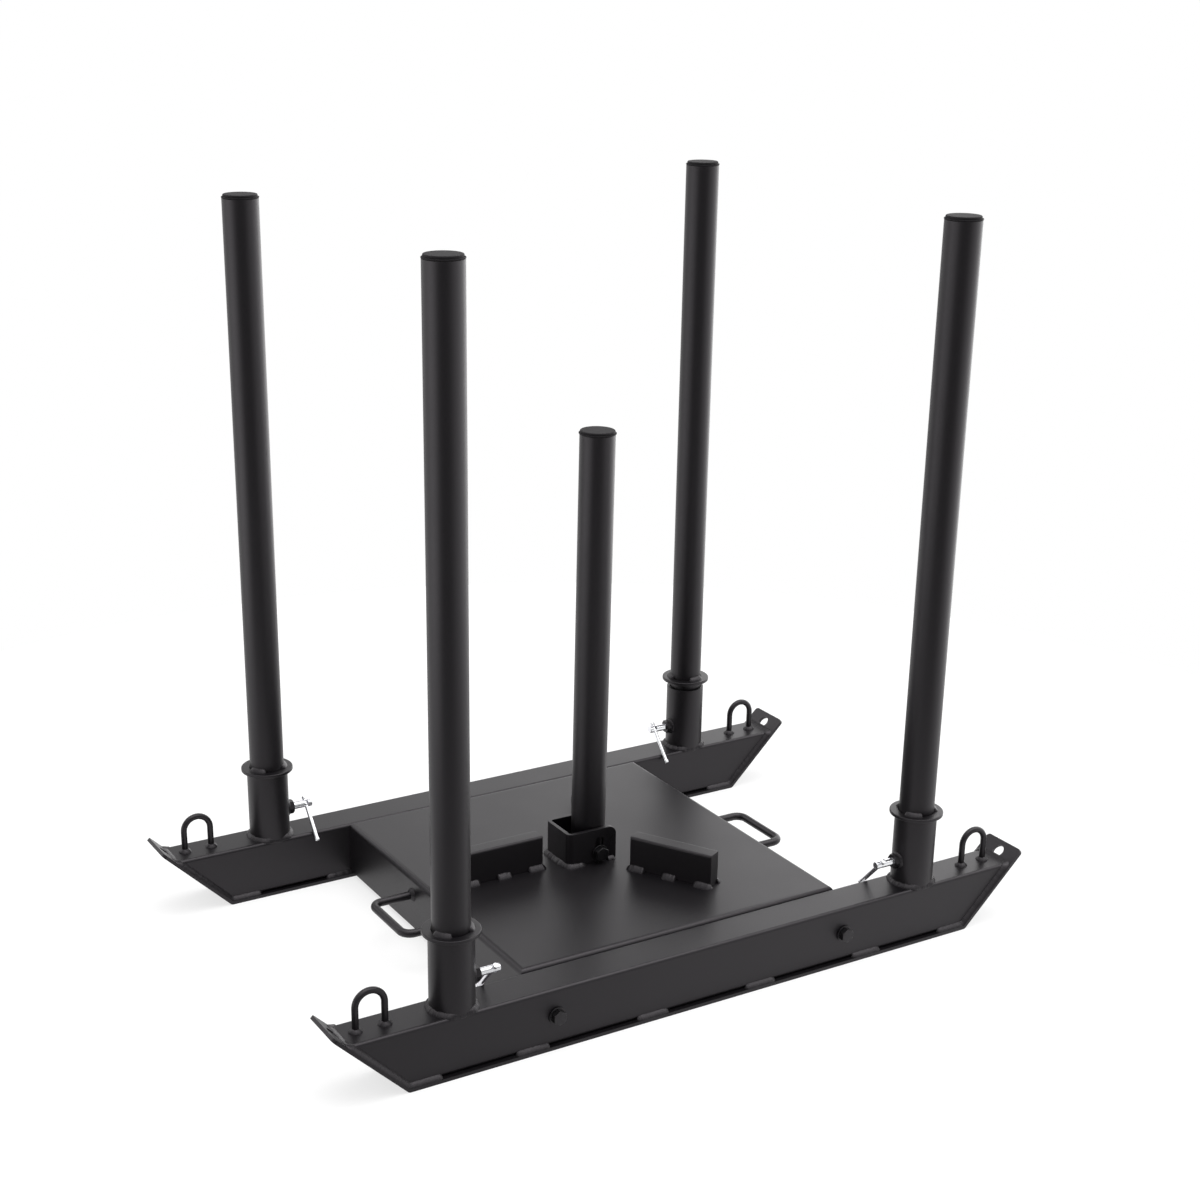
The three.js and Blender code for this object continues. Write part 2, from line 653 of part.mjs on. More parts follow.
// A side bolt with its washer outside the runner and its nut inside the tray's flange.
function addSideBolt(label, side, end) {
  const joint = new THREE.Group();
  joint.position.set((side * RUNNER_SPACING) / 2, sideBoltPlace(end), SIDE_BOLT_HEIGHT);
  joint.rotation.z = side > 0 ? 0 : Math.PI;
  sled.add(joint);
  const face = RUNNER_WIDTH / 2 + FIT_GAP;
  const head = face + SIDE_WASHER_THICKNESS + FIT_GAP;
  const flange = RUNNER_WIDTH / 2 + FIT_GAP + TRAY_SHEET;
  const shank = head + flange + FIT_GAP + SIDE_NUT_THICKNESS + SIDE_BOLT_TAIL;
  const bolt = alongX(hexBolt(SIDE_BOLT_DIAMETER, SIDE_HEAD_ACROSS, SIDE_HEAD_HEIGHT, shank));
  node(joint, `side_bolt_${label}`, bolt, 'blackOxide').position.x = head;
  const washer = alongX(flatWasher(SIDE_WASHER_DIAMETER, SIDE_BOLT_DIAMETER, SIDE_WASHER_THICKNESS));
  node(joint, `side_washer_${label}`, washer, 'blackOxide').position.x = face;
  const nut = alongX(hexNut(SIDE_BOLT_DIAMETER, SIDE_HEAD_ACROSS, SIDE_NUT_THICKNESS));
  node(joint, `side_nut_${label}`, nut, 'blackOxide').position.x =
    -flange - FIT_GAP - SIDE_NUT_THICKNESS;
}

function addPole(label, side, end) {
  const station = new THREE.Group();
  station.position.set((side * RUNNER_SPACING) / 2, (end * POLE_SPREAD) / 2, 0);
  sled.add(station);
  const lifted = label === 'rear_left' ? LIFTED_POLE_RISE : 0;
  const foot = COLLAR_BASE + lifted - POLE_INSERT;
  const turn = end < 0 ? 0 : Math.PI;
  const sleeve = node(station, `pole_sleeve_${label}`, poleSleeve(), 'powderCoat');
  sleeve.position.z = SLEEVE_BASE;
  sleeve.rotation.z = turn;
  node(station, `pole_${label}`, steelTube(POLE_LENGTH), 'powderCoat').position.z = foot;
  node(station, `pole_collar_${label}`, poleCollar(), 'powderCoat').position.z = COLLAR_BASE + lifted;
  const cap = tubeCap(CAP_RIM_OVERHANG, CAP_HEAD_DIAMETER);
  node(station, `pole_cap_${label}`, cap, 'blackPlastic').position.z = foot + POLE_LENGTH + FIT_GAP;
  const clamp = new THREE.Group();
  clamp.position.z = CLAMP_AXIS;
  clamp.rotation.z = turn;
  station.add(clamp);
  node(clamp, `clamp_nut_${label}`, clampNut(), 'blackOxide');
  const lean = -side * end * TOMMY_LEAN;
  node(clamp, `clamp_screw_${label}`, clampScrew(), 'brightZinc').rotation.y = lean;
  node(clamp, `tommy_bar_${label}`, tommyBar(), 'brightZinc').rotation.y = lean;
}

function addTieLoop(label, side, end) {
  const place = [(side * RUNNER_SPACING) / 2, (end * LOOP_SPREAD) / 2, RUNNER_TOP + FIT_GAP];
  node(sled, `tie_loop_${label}`, tieLoop(), 'powderCoat').position.set(...place);
}

function addPullHandle(endName, end) {
  const handle = node(sled, `pull_handle_${endName}`, pullHandle(), 'powderCoat');
  handle.position.set(0, end * (TRAY_LENGTH / 2 + FIT_GAP), TRAY_TOP - HANDLE_DROP);
  handle.rotation.z = end < 0 ? 0 : Math.PI;
}

function addPlateStops() {
  for (const [label, angle] of Object.entries(STOP_ANGLES)) {
    const stop = node(sled, `plate_stop_${label}`, plateStop(), 'powderCoat');
    const across = STOP_RADIUS * Math.cos(angle);
    const along = STOP_CENTRE + STOP_RADIUS * Math.sin(angle);
    stop.position.set(across, along, TRAY_TOP + FIT_GAP);
    stop.rotation.z = angle;
  }
}

// The bolt pinches the post a little off the upright.
function addCentrePost() {
  const mount = new THREE.Group();
  mount.position.set(0, POST_CENTRE, 0);
  sled.add(mount);
  node(mount, 'pivot_bracket', pivotBracket(), 'powderCoat').position.z = TRAY_TOP + FIT_GAP;
  const pivot = new THREE.Group();
  pivot.position.z = TRAY_TOP + PIVOT_HEIGHT;
  mount.add(pivot);
  const post = new THREE.Group();
  post.rotation.x = -POST_LEAN;
  pivot.add(post);
  node(post, 'centre_post', centrePost(), 'powderCoat');
  const cap = tubeCap(POST_CAP_RIM_OVERHANG, POST_CAP_HEAD_DIAMETER);
  const capBase = FIT_GAP - PIVOT_HEIGHT + POST_LENGTH + FIT_GAP;
  node(post, 'centre_post_cap', cap, 'blackPlastic').position.z = capBase;
  const face = BRACKET_WIDTH / 2 + FIT_GAP;
  const head = face + PIVOT_WASHER_THICKNESS + FIT_GAP;
  const shank = head + face + PIVOT_NUT_THICKNESS + PIVOT_BOLT_TAIL;
  const bolt = alongX(hexBolt(PIVOT_DIAMETER, PIVOT_HEAD_ACROSS, PIVOT_HEAD_HEIGHT, shank));
  node(pivot, 'pivot_bolt', bolt, 'blackOxide').position.x = head;
  const washer = alongX(flatWasher(PIVOT_WASHER_DIAMETER, PIVOT_DIAMETER, PIVOT_WASHER_THICKNESS));
  node(pivot, 'pivot_washer', washer, 'blackOxide').position.x = face;
  const nut = alongX(hexNut(PIVOT_DIAMETER, PIVOT_HEAD_ACROSS, PIVOT_NUT_THICKNESS));
  node(pivot, 'pivot_nut', nut, 'blackOxide').position.x = -face - PIVOT_NUT_THICKNESS;
}

for (const [sideName, side] of Object.entries(SIDES)) addRunner(sideName, side);
node(sled, 'weight_tray', weightTray(), 'powderCoat');
for (const [endName, end] of Object.entries(ENDS)) {
  for (const [sideName, side] of Object.entries(SIDES)) {
    const label = `${endName}_${sideName}`;
    addSideBolt(label, side, end);
    addPole(label, side, end);
    addTieLoop(label, side, end);
  }
  addPullHandle(endName, end);
}
addPlateStops();
addCentrePost();

export default sled;
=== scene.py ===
"""Dresses the push sled: fine solids over the frame, weld beads, finishes, studio and camera.

Shapes are drawn in millimetres, as in a workshop drawing, and every finished piece is written in
metres at its own place. X runs across the sled, Y along the runners and Z up. The front is towards
-Y and the right is towards +X.
"""
import logging
import math
from dataclasses import dataclass, field
from enum import Enum
from typing import Iterable, Sequence

import bmesh
import bpy
from mathutils import Matrix, Vector


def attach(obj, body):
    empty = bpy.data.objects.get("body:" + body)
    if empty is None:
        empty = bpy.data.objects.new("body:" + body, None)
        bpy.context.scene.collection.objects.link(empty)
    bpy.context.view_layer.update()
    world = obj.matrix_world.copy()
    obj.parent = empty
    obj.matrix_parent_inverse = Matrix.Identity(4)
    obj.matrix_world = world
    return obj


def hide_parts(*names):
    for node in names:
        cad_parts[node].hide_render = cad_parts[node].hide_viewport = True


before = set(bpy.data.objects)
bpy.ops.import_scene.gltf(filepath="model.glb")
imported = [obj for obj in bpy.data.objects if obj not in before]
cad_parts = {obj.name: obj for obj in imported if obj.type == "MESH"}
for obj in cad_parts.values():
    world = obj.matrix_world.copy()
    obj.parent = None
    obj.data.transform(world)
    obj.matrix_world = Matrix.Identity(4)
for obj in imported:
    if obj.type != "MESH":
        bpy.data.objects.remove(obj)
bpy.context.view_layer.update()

LOG = logging.getLogger("sled")
METRE = 0.001
ROOT = "sled_frame"

# How finely round shapes are drawn
TUBE_SIDES = 96
ROD_SIDES = 20
BOLT_SIDES = 48
ARC_STEPS = 8

# The gap between pieces that meet, and how far drills and cuts reach
FIT_GAP = 0.3
DRILL_OVERRUN = 5.0
CUT_REACH = 60.0

# Edges sharper than this many degrees stay sharp on beads and on bent rods
WELD_ANGLE = 60.0
LOOP_ANGLE = 50.0

# Places that several pieces share
RUNNER_SPACING = 596.0
RUNNER_TOP = 85.3
TRAY_TOP = 88.0
POLE_SPREAD = 746.0

# How far each collar's stitches are turned, in the order of the corners
STITCH_TURNS = (-54.0, -53.0, 9.0, -49.0)

Point = tuple[float, float]
X_AXIS, Y_AXIS, Z_AXIS = Vector((1, 0, 0)), Vector((0, 1, 0)), Vector((0, 0, 1))


class Side(Enum):
    """A runner, by the sign of its place across the sled."""

    LEFT = -1
    RIGHT = 1

    @property
    def label(self) -> str:
        """The word used in names."""
        return self.name.lower()


class End(Enum):
    """An end of the sled, by the sign of its place along the runners."""

    FRONT = -1
    REAR = 1

    @property
    def label(self) -> str:
        """The word used in names."""
        return self.name.lower()


class Slot(Enum):
    """The material slots of the record."""

    POWDER = "powder_coat"
    SKID = "skid_coat"
    PLASTIC = "black_plastic"
    ZINC = "bright_zinc"
    OXIDE = "black_fastener"


@dataclass(frozen=True)
class Corner:
    """A corner of the sled."""

    end: End
    side: Side

    @property
    def label(self) -> str:
        """The words used in names."""
        return f"{self.end.label}_{self.side.label}"

    @property
    def turn(self) -> Matrix:
        """The turn from a drawing of the front to this corner's end."""
        return UPRIGHT if self.end is End.FRONT else HALF_TURN

    def place(self, spacing: float, spread: float, height: float = 0.0, shift: float = 0.0) -> Vector:
        """Gives the corner's point, from its distances across and along the sled and its height."""
        return Vector((self.side.value * spacing / 2, self.end.value * spread / 2 + shift, height))


CORNERS = tuple(Corner(end, side) for end in End for side in Side)


# Shader and geometry graphs


class Value:
    """One output of a node, which Python's operators combine with others."""

    def __init__(self, graph: "Graph", socket: bpy.types.NodeSocket) -> None:
        """Keeps the socket and the graph that it belongs to."""
        self.graph = graph
        self.socket = socket

    def _maths(self, operation: str, first: object, second: object) -> "Value":
        """Adds one Math node.

        Args:
            operation: the node's operation.
            first: the left value, a number or a link.
            second: the right value, a number or a link.

        Returns:
            The node's result.
        """
        node = self.graph.node("ShaderNodeMath", {"operation": operation}, {0: first, 1: second})
        return Value(self.graph, node.outputs[0])

    def __add__(self, other: object) -> "Value":
        """Adds."""
        return self._maths("ADD", self, other)

    def __radd__(self, other: object) -> "Value":
        """Adds, reflected."""
        return self._maths("ADD", other, self)

    def __sub__(self, other: object) -> "Value":
        """Subtracts."""
        return self._maths("SUBTRACT", self, other)

    def __rsub__(self, other: object) -> "Value":
        """Subtracts, reflected."""
        return self._maths("SUBTRACT", other, self)

    def __mul__(self, other: object) -> "Value":
        """Multiplies."""
        return self._maths("MULTIPLY", self, other)

    def __rmul__(self, other: object) -> "Value":
        """Multiplies, reflected."""
        return self._maths("MULTIPLY", other, self)

    def __truediv__(self, other: object) -> "Value":
        """Divides."""
        return self._maths("DIVIDE", self, other)

    def __pow__(self, other: object) -> "Value":
        """Raises to a power."""
        return self._maths("POWER", self, other)


@dataclass
class Graph:
    """A node tree under construction."""

    tree: bpy.types.NodeTree

    def node(self, kind: str, settings: dict | None = None, sockets: dict | None = None) -> bpy.types.Node:
        """Adds a node.

        Args:
            kind: the node's type.
            settings: what is set on the node itself, before its sockets.
            sockets: values or links of its inputs, by name or by number.

        Returns:
            The new node.
        """
        node = self.tree.nodes.new(kind)
        for key, value in (settings or {}).items():
            setattr(node, key, value)
        for key, value in (sockets or {}).items():
            self.feed(node.inputs[key], value)
        return node

    def value(self, kind: str, settings: dict | None = None, sockets: dict | None = None,
              output: int | str = 0) -> Value:
        """Adds a node and gives one of its outputs, with the same arguments as node."""
        return Value(self, self.node(kind, settings, sockets).outputs[output])

    def feed(self, socket: bpy.types.NodeSocket, value: object) -> None:
        """Links a value to a socket, or sets the socket's own value."""
        if isinstance(value, Value):
            self.tree.links.new(value.socket, socket)
        elif isinstance(value, bpy.types.NodeSocket):
            self.tree.links.new(value, socket)
        else:
            socket.default_value = value


def emptied(owner: bpy.types.Material | bpy.types.World) -> Graph:
    """Gives the tree of a new material or world without its first nodes."""
    owner.use_nodes = True
    owner.node_tree.nodes.clear()
    return Graph(owner.node_tree)


def added(name: str, data: bpy.types.ID) -> bpy.types.Object:
    """Adds an object to the scene."""
    thing = bpy.data.objects.new(name, data)
    bpy.context.scene.collection.objects.link(thing)
    return thing


def evaluated(thing: bpy.types.Object, layers: bool = False) -> bpy.types.Mesh:
    """Gives an object's mesh with its modifiers applied, with all its layers where wanted."""
    graph = bpy.context.evaluated_depsgraph_get()
    return bpy.data.meshes.new_from_object(thing.evaluated_get(graph), preserve_all_data_layers=layers,
                                           depsgraph=graph)


# Finishes


@dataclass(frozen=True)
class Finish:
    """A finish whose colour, roughness and grain vary a little over the surface.

    The grain and the cloud are sizes in millimetres. The depth is the height of the grain.
    """

    name: str
    slot: Slot
    color: tuple[float, float, float]
    roughness: float
    grain: float
    depth: float
    ior: float = 1.45
    metallic: float = 0.0
    cloud: float = 90.0
    cloud_share: float = 0.06
    speckle_share: float = 0.05
    roughness_share: float = 0.12
    stretch: tuple[float, float, float] = (1.0, 1.0, 1.0)
    sheen: tuple[float, float, float, float] = (1.0, 0.94, 1.0, 1.0)

    def _noise(self, graph: Graph, place: Value, size: float, detail: float) -> Value:
        """A noise of about the given size in millimetres, from 0 to 1."""
        sockets = {"Vector": place, "Scale": 1.0 / (size * METRE), "Detail": detail, "Roughness": 0.55}
        return graph.value("ShaderNodeTexNoise", {"noise_dimensions": "3D"}, sockets)

    def build(self) -> bpy.types.Material:
        """Builds the material.

        Returns:
            The node material.
        """
        material = bpy.data.materials.new(self.name)
        graph = emptied(material)
        objects = graph.value("ShaderNodeTexCoord", output="Object")
        place = graph.value("ShaderNodeMapping", {"vector_type": "POINT"},
                            {"Vector": objects, "Scale": self.stretch})
        cloud = self._noise(graph, place, self.cloud, 3.0)
        speckle = self._noise(graph, place, self.grain * 2.5, 1.0)
        grain = self._noise(graph, place, self.grain, 2.0)
        shade = (cloud - 0.5) * (2.0 * self.cloud_share) + (speckle - 0.5) * (2.0 * self.speckle_share) + 1.0
        tint = graph.value("ShaderNodeVectorMath", {"operation": "SCALE"},
                           {0: self.color, "Scale": shade})
        rough = ((cloud - 0.5) * 0.6 + (speckle - 0.5) * 1.4) * self.roughness_share + self.roughness
        bump = graph.value("ShaderNodeBump", None,
                           {"Strength": 1.0, "Distance": self.depth * METRE, "Height": grain})
        shader = graph.node("ShaderNodeBsdfPrincipled", None, {
            "Base Color": tint, "Roughness": rough, "Metallic": self.metallic, "IOR": self.ior,
            "Specular Tint": self.sheen, "Normal": bump})
        graph.node("ShaderNodeOutputMaterial", None, {"Surface": shader.outputs[0]})
        return material


POWDER_COAT = Finish("powder_coat_black", Slot.POWDER, (0.0017, 0.0014, 0.0020), 0.42, 0.55, 0.012,
                     ior=1.46)
SKID_COAT = Finish("powder_coat_plate", Slot.SKID, (0.0017, 0.0014, 0.0020), 0.42, 0.6, 0.014, ior=1.46)
# The beads' coat is the powder coat with a painted highlight: its colour is about three times lighter, for
# the light that the beads catch. Its grain is coarser.
WELD_COAT_PAINTED_HIGHLIGHT = Finish("powder_coat_weld_painted_highlight", Slot.POWDER, (0.0052, 0.0047, 0.0055), 0.42, 1.1, 0.05, ior=1.42,
                   speckle_share=0.12)
MOULDED_PLASTIC = Finish("moulded_plastic_black", Slot.PLASTIC, (0.0032, 0.0030, 0.0034), 0.74, 0.35, 0.008,
                         ior=1.36, cloud=30.0)
BRIGHT_ZINC = Finish("bright_zinc_plate", Slot.ZINC, (0.80, 0.81, 0.83), 0.24, 0.3, 0.002, metallic=1.0,
                     cloud=9.0, speckle_share=0.03, roughness_share=0.2)
BLACK_OXIDE = Finish("black_oxide_steel", Slot.OXIDE, (0.0040, 0.0040, 0.0044), 0.32, 0.4, 0.006, ior=1.45,
                     cloud=12.0)


# Outlines


def arc(across: float, up: float, radius: float, start: float, end: float,
        steps: int = ARC_STEPS) -> list[Point]:
    """Gives points along an arc.

    Args:
        across: the centre's first coordinate.
        up: the centre's second coordinate.
        radius: the arc's radius.
        start: the first angle in degrees.
        end: the last angle in degrees.
        steps: how many steps the arc takes.

    Returns:
        The points, the first and the last included.
    """
    angles = [math.radians(start + (end - start) * i / steps) for i in range(steps + 1)]
    return [(across + radius * math.cos(a), up + radius * math.sin(a)) for a in angles]


def rounded_box(left: float, bottom: float, right: float, top: float, radius: float,
                lower: bool = True) -> list[Point]:
    """Outlines a rectangle with round corners, or with only its upper corners round.

    Args:
        left: the lowest first coordinate.
        bottom: the lowest second coordinate.
        right: the highest first coordinate.
        top: the highest second coordinate.
        radius: the corners' radius.
        lower: whether the two lower corners are round too.

    Returns:
        The outline's points in order.
    """
    points = []
    if lower:
        points += arc(left + radius, bottom + radius, radius, 180, 270)
        points += arc(right - radius, bottom + radius, radius, 270, 360)
    else:
        points += [(left, bottom), (right, bottom)]
    points += arc(right - radius, top - radius, radius, 0, 90)
    points += arc(left + radius, top - radius, radius, 90, 180)
    return points


def basis(x: Sequence[float], y: Sequence[float], z: Sequence[float],
          origin: Sequence[float] = (0, 0, 0)) -> Matrix:
    """Makes the matrix that puts a drawing's own axes along three given directions."""
    matrix = Matrix((x, y, z)).transposed().to_4x4()
    matrix.translation = Vector(origin)
    return matrix


UPRIGHT = Matrix.Identity(4)
SIDE_VIEW = basis((0, 1, 0), (0, 0, 1), (1, 0, 0))
END_VIEW = basis((1, 0, 0), (0, 0, 1), (0, -1, 0))
ALONG_X = basis((0, 0, -1), (0, 1, 0), (1, 0, 0))
ALONG_Y = basis((1, 0, 0), (0, 0, -1), (0, 1, 0))
HALF_TURN = Matrix.Rotation(math.pi, 4, "Z")


# Solids


class Form:
    """A closed shape in millimetres: its points, and its faces turned outwards."""

    def __init__(self, points: Iterable[Sequence[float]], faces: Iterable[Sequence[int]]) -> None:
        """Keeps the points and faces."""
        self.points = [Vector(p) for p in points]
        self.faces = [tuple(f) for f in faces]

    @classmethod
    def prism(cls, outline: Sequence[Point], low: float, high: float, view: Matrix = UPRIGHT) -> "Form":
        """Draws an outline out into a block.

        Args:
            outline: the outline's points.
            low: where the block starts, along the drawing's third axis.
            high: where it ends.
            view: how the drawing's axes lie in the sled's frame.

        Returns:
            The closed block.
        """
        count = len(outline)
        points = [(u, v, low) for u, v in outline] + [(u, v, high) for u, v in outline]
        faces = [tuple(range(count))[::-1], tuple(range(count, 2 * count))]
        faces += [(i, (i + 1) % count, count + (i + 1) % count, count + i) for i in range(count)]
        return cls(points, faces).placed(view)

    @classmethod
    def turned(cls, profile: Sequence[Point], sides: int = TUBE_SIDES) -> "Form":
        """Turns a profile round the Z axis.

        Args:
            profile: points of radius and height. It starts and ends on the axis, or closes on itself.
            sides: how many steps the turn takes.

        Returns:
            The closed turned shape.
        """
        rings: list[list[int]] = []
        points: list[tuple[float, float, float]] = []
        for radius, height in profile:
            if radius < 1e-6:
                rings.append([len(points)] * sides)
                points.append((0.0, 0.0, height))
                continue
            rings.append(list(range(len(points), len(points) + sides)))
            turn = [2 * math.pi * i / sides for i in range(sides)]
            points += [(radius * math.cos(a), radius * math.sin(a), height) for a in turn]
        pairs = list(zip(rings, rings[1:]))
        if profile[0][0] > 1e-6:
            pairs.append((rings[-1], rings[0]))
        faces = []
        for lower, upper in pairs:
            for i in range(sides):
                j = (i + 1) % sides
                corner = dict.fromkeys((lower[i], lower[j], upper[j], upper[i]))
                if len(corner) > 2:
                    faces.append(tuple(corner))
        return cls(points, faces).turned_out()

    @classmethod
    def from_mesh(cls, mesh: bpy.types.Mesh) -> "Form":
        """Reads a mesh that is in millimetres."""
        return cls([v.co.copy() for v in mesh.vertices], [tuple(p.vertices) for p in mesh.polygons])

    def placed(self, *matrices: Matrix) -> "Form":
        """Gives a copy moved by each matrix in turn."""
        points = self.points
        flips = False
        for matrix in matrices:
            points = [matrix @ p for p in points]
            flips ^= matrix.determinant() < 0
        faces = [f[::-1] for f in self.faces] if flips else self.faces
        return Form(points, faces)

    def moved(self, x: float = 0, y: float = 0, z: float = 0) -> "Form":
        """Gives a copy moved along the axes."""
        return self.placed(Matrix.Translation((x, y, z)))

    def joined(self, *others: "Form") -> "Form":
        """Gives one form that holds this one and the others, uncut."""
        points, faces = list(self.points), list(self.faces)
        for other in others:
            start = len(points)
            points += other.points
            faces += [tuple(i + start for i in f) for f in other.faces]
        return Form(points, faces)

    def turned_out(self) -> "Form":
        """Gives a copy whose doubles are merged and whose faces point outwards."""
        work = bmesh.new()
        mesh = self.mesh("work", 1.0)
        work.from_mesh(mesh)
        bmesh.ops.remove_doubles(work, verts=work.verts, dist=1e-5)
        bmesh.ops.recalc_face_normals(work, faces=work.faces)
        work.to_mesh(mesh)
        work.free()
        form = Form.from_mesh(mesh)
        bpy.data.meshes.remove(mesh)
        return form

    def mesh(self, name: str, scale: float = METRE) -> bpy.types.Mesh:
        """Writes the form as a mesh, in metres unless another scale is given."""
        mesh = bpy.data.meshes.new(name)
        mesh.from_pydata([p * scale for p in self.points], [], self.faces)
        mesh.update()
        return mesh

    def _worked(self, kind: str, settings: dict, others: Sequence["Form"] = ()) -> "Form":
        """Applies one modifier, once for each other form or once where there is none.

        Args:
            kind: the modifier's type.
            settings: what is set on the modifier.
            others: the forms that the modifier works with.

        Returns:
            The worked form.
        """
        body = added("bench_body", self.mesh("bench_body", 1.0))
        tools = []
        for other in others or (None,):
            modifier = body.modifiers.new(kind.lower(), kind)
            for key, value in settings.items():
                setattr(modifier, key, value)
            if other is not None:
                tools.append(added("bench_tool", other.mesh("bench_tool", 1.0)))
                modifier.object = tools[-1]
        result = evaluated(body)
        form = Form.from_mesh(result)
        bpy.data.meshes.remove(result)
        for thing in (body, *tools):
            mesh = thing.data
            bpy.data.objects.remove(thing)
            bpy.data.meshes.remove(mesh)
        return form

    def cut(self, *tools: "Form") -> "Form":
        """Cuts the tools away."""
        return self._worked("BOOLEAN", {"operation": "DIFFERENCE", "solver": "EXACT"}, tools)

    def kept(self, *tools: "Form") -> "Form":
        """Keeps what lies in every tool."""
        return self._worked("BOOLEAN", {"operation": "INTERSECT", "solver": "EXACT"}, tools)

    def eased(self, width: float, steps: int = 2, angle: float = 30.0) -> "Form":
        """Rounds the edges that are sharper than an angle in degrees."""
        return self._worked("BEVEL", {
            "width": width, "segments": steps, "limit_method": "ANGLE", "angle_limit": math.radians(angle),
            "use_clamp_overlap": True, "miter_outer": "MITER_ARC"})


def rod(diameter: float, low: float, high: float, ease: float = 0.0, sides: int = BOLT_SIDES) -> Form:
    """Turns a solid rod along Z, with its end edges rounded where an ease is given."""
    radius = diameter / 2
    if not ease:
        return Form.turned([(0, low), (radius, low), (radius, high), (0, high)], sides)
    bottom = arc(radius - ease, low + ease, ease, -90, 0, 3)
    top = arc(radius - ease, high - ease, ease, 0, 90, 3)
    return Form.turned([(0, low), *bottom, *top, (0, high)], sides)


def tube(outer: float, bore: float, low: float, high: float, ease: float, sides: int = TUBE_SIDES) -> Form:
    """Turns a tube along Z with its four end edges rounded."""
    out, into = outer / 2, bore / 2
    profile = [
        *arc(into + ease, low + ease, ease, 180, 270, 3),
        *arc(out - ease, low + ease, ease, 270, 360, 3),
        *arc(out - ease, high - ease, ease, 0, 90, 3),
        *arc(into + ease, high - ease, ease, 90, 180, 3),
    ]
    return Form.turned(profile, sides)


def hexagon(across: float, low: float, high: float, both: bool) -> Form:
    """Makes a hexagon along Z whose corners are turned off at its upper face, or at both faces."""
    corner = across / math.sqrt(3)
    outline = [(corner * math.cos(math.radians(60 * i)), corner * math.sin(math.radians(60 * i)))
               for i in range(6)]
    flat = across / 2 * 0.96
    reach = corner + 1
    drop = (reach - flat) * math.tan(math.radians(30))
    start = [(0, low), (flat, low), (reach, low + drop)] if both else [(0, low - 1), (reach, low - 1)]
    cone = Form.turned([*start, (reach, high - drop), (flat, high), (0, high)], BOLT_SIDES)
    return Form.prism(outline, low, high).kept(cone)


def hex_nut(across: float, thickness: float, bolt: float) -> Form:
    """Makes a nut along Z with a plain hole for its bolt."""
    drill = rod(bolt + 2 * FIT_GAP, -DRILL_OVERRUN, thickness + DRILL_OVERRUN)
    return hexagon(across, 0, thickness, True).cut(drill).eased(0.3, 2, 40)


# Pieces


class Workshop:
    """Turns forms into finished pieces: smooth normals, material, body and record names."""

    def __init__(self) -> None:
        """Builds the materials once."""
        self.materials: dict[str, bpy.types.Material] = {}

    def material(self, finish: Finish) -> bpy.types.Material:
        """Gives a finish's material, built when it is first wanted."""
        if finish.name not in self.materials:
            self.materials[finish.name] = finish.build()
        return self.materials[finish.name]

    def piece(self, name: str, shape: Form | bpy.types.Mesh, finish: Finish, body: str,
              nodes: Sequence[str] = (), angle: float = 38.0) -> bpy.types.Object:
        """Makes one piece.

        Args:
            name: the piece's name.
            shape: its form, or a mesh in metres.
            finish: its finish.
            body: the body that it rides on.
            nodes: the nodes of the frame that it stands for.
            angle: edges sharper than this many degrees stay sharp.

        Returns:
            The piece's object.
        """
        mesh = shape.mesh(name) if isinstance(shape, Form) else shape
        mesh.name = name
        piece = added(name, mesh)
        mesh.materials.clear()
        mesh.materials.append(self.material(finish))
        for face in mesh.polygons:
            face.use_smooth = True
            face.material_index = 0
        mesh.set_sharp_from_angle(angle=math.radians(angle))
        modifier = piece.modifiers.new("even_normals", "WEIGHTED_NORMAL")
        modifier.keep_sharp = True
        modifier.weight = 60
        self.settle(piece)
        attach(piece, body)
        if nodes:
            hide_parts(*nodes)
        LOG.info("%-26s %7d faces on %s", name, len(piece.data.polygons), body)
        return piece

    @staticmethod
    def settle(piece: bpy.types.Object) -> None:
        """Replaces a piece's mesh with its evaluated mesh and removes its modifiers."""
        settled = evaluated(piece, layers=True)
        old, name = piece.data, piece.data.name
        piece.modifiers.clear()
        piece.data = settled
        bpy.data.meshes.remove(old)
        settled.name = name


# Bent rods, threads and weld beads, which follow a path


@dataclass
class Path:
    """A line in millimetres that a rod or a bead follows.

    A rod lies round its line. A bead fills the corner at its line: the radius is its leg, the
    facing tells at each point which way it looks, and the shares make it smaller.
    """

    points: list[Vector]
    radius: float
    closed: bool = False
    facing: list[Vector] = field(default_factory=list)
    shares: list[float] = field(default_factory=list)


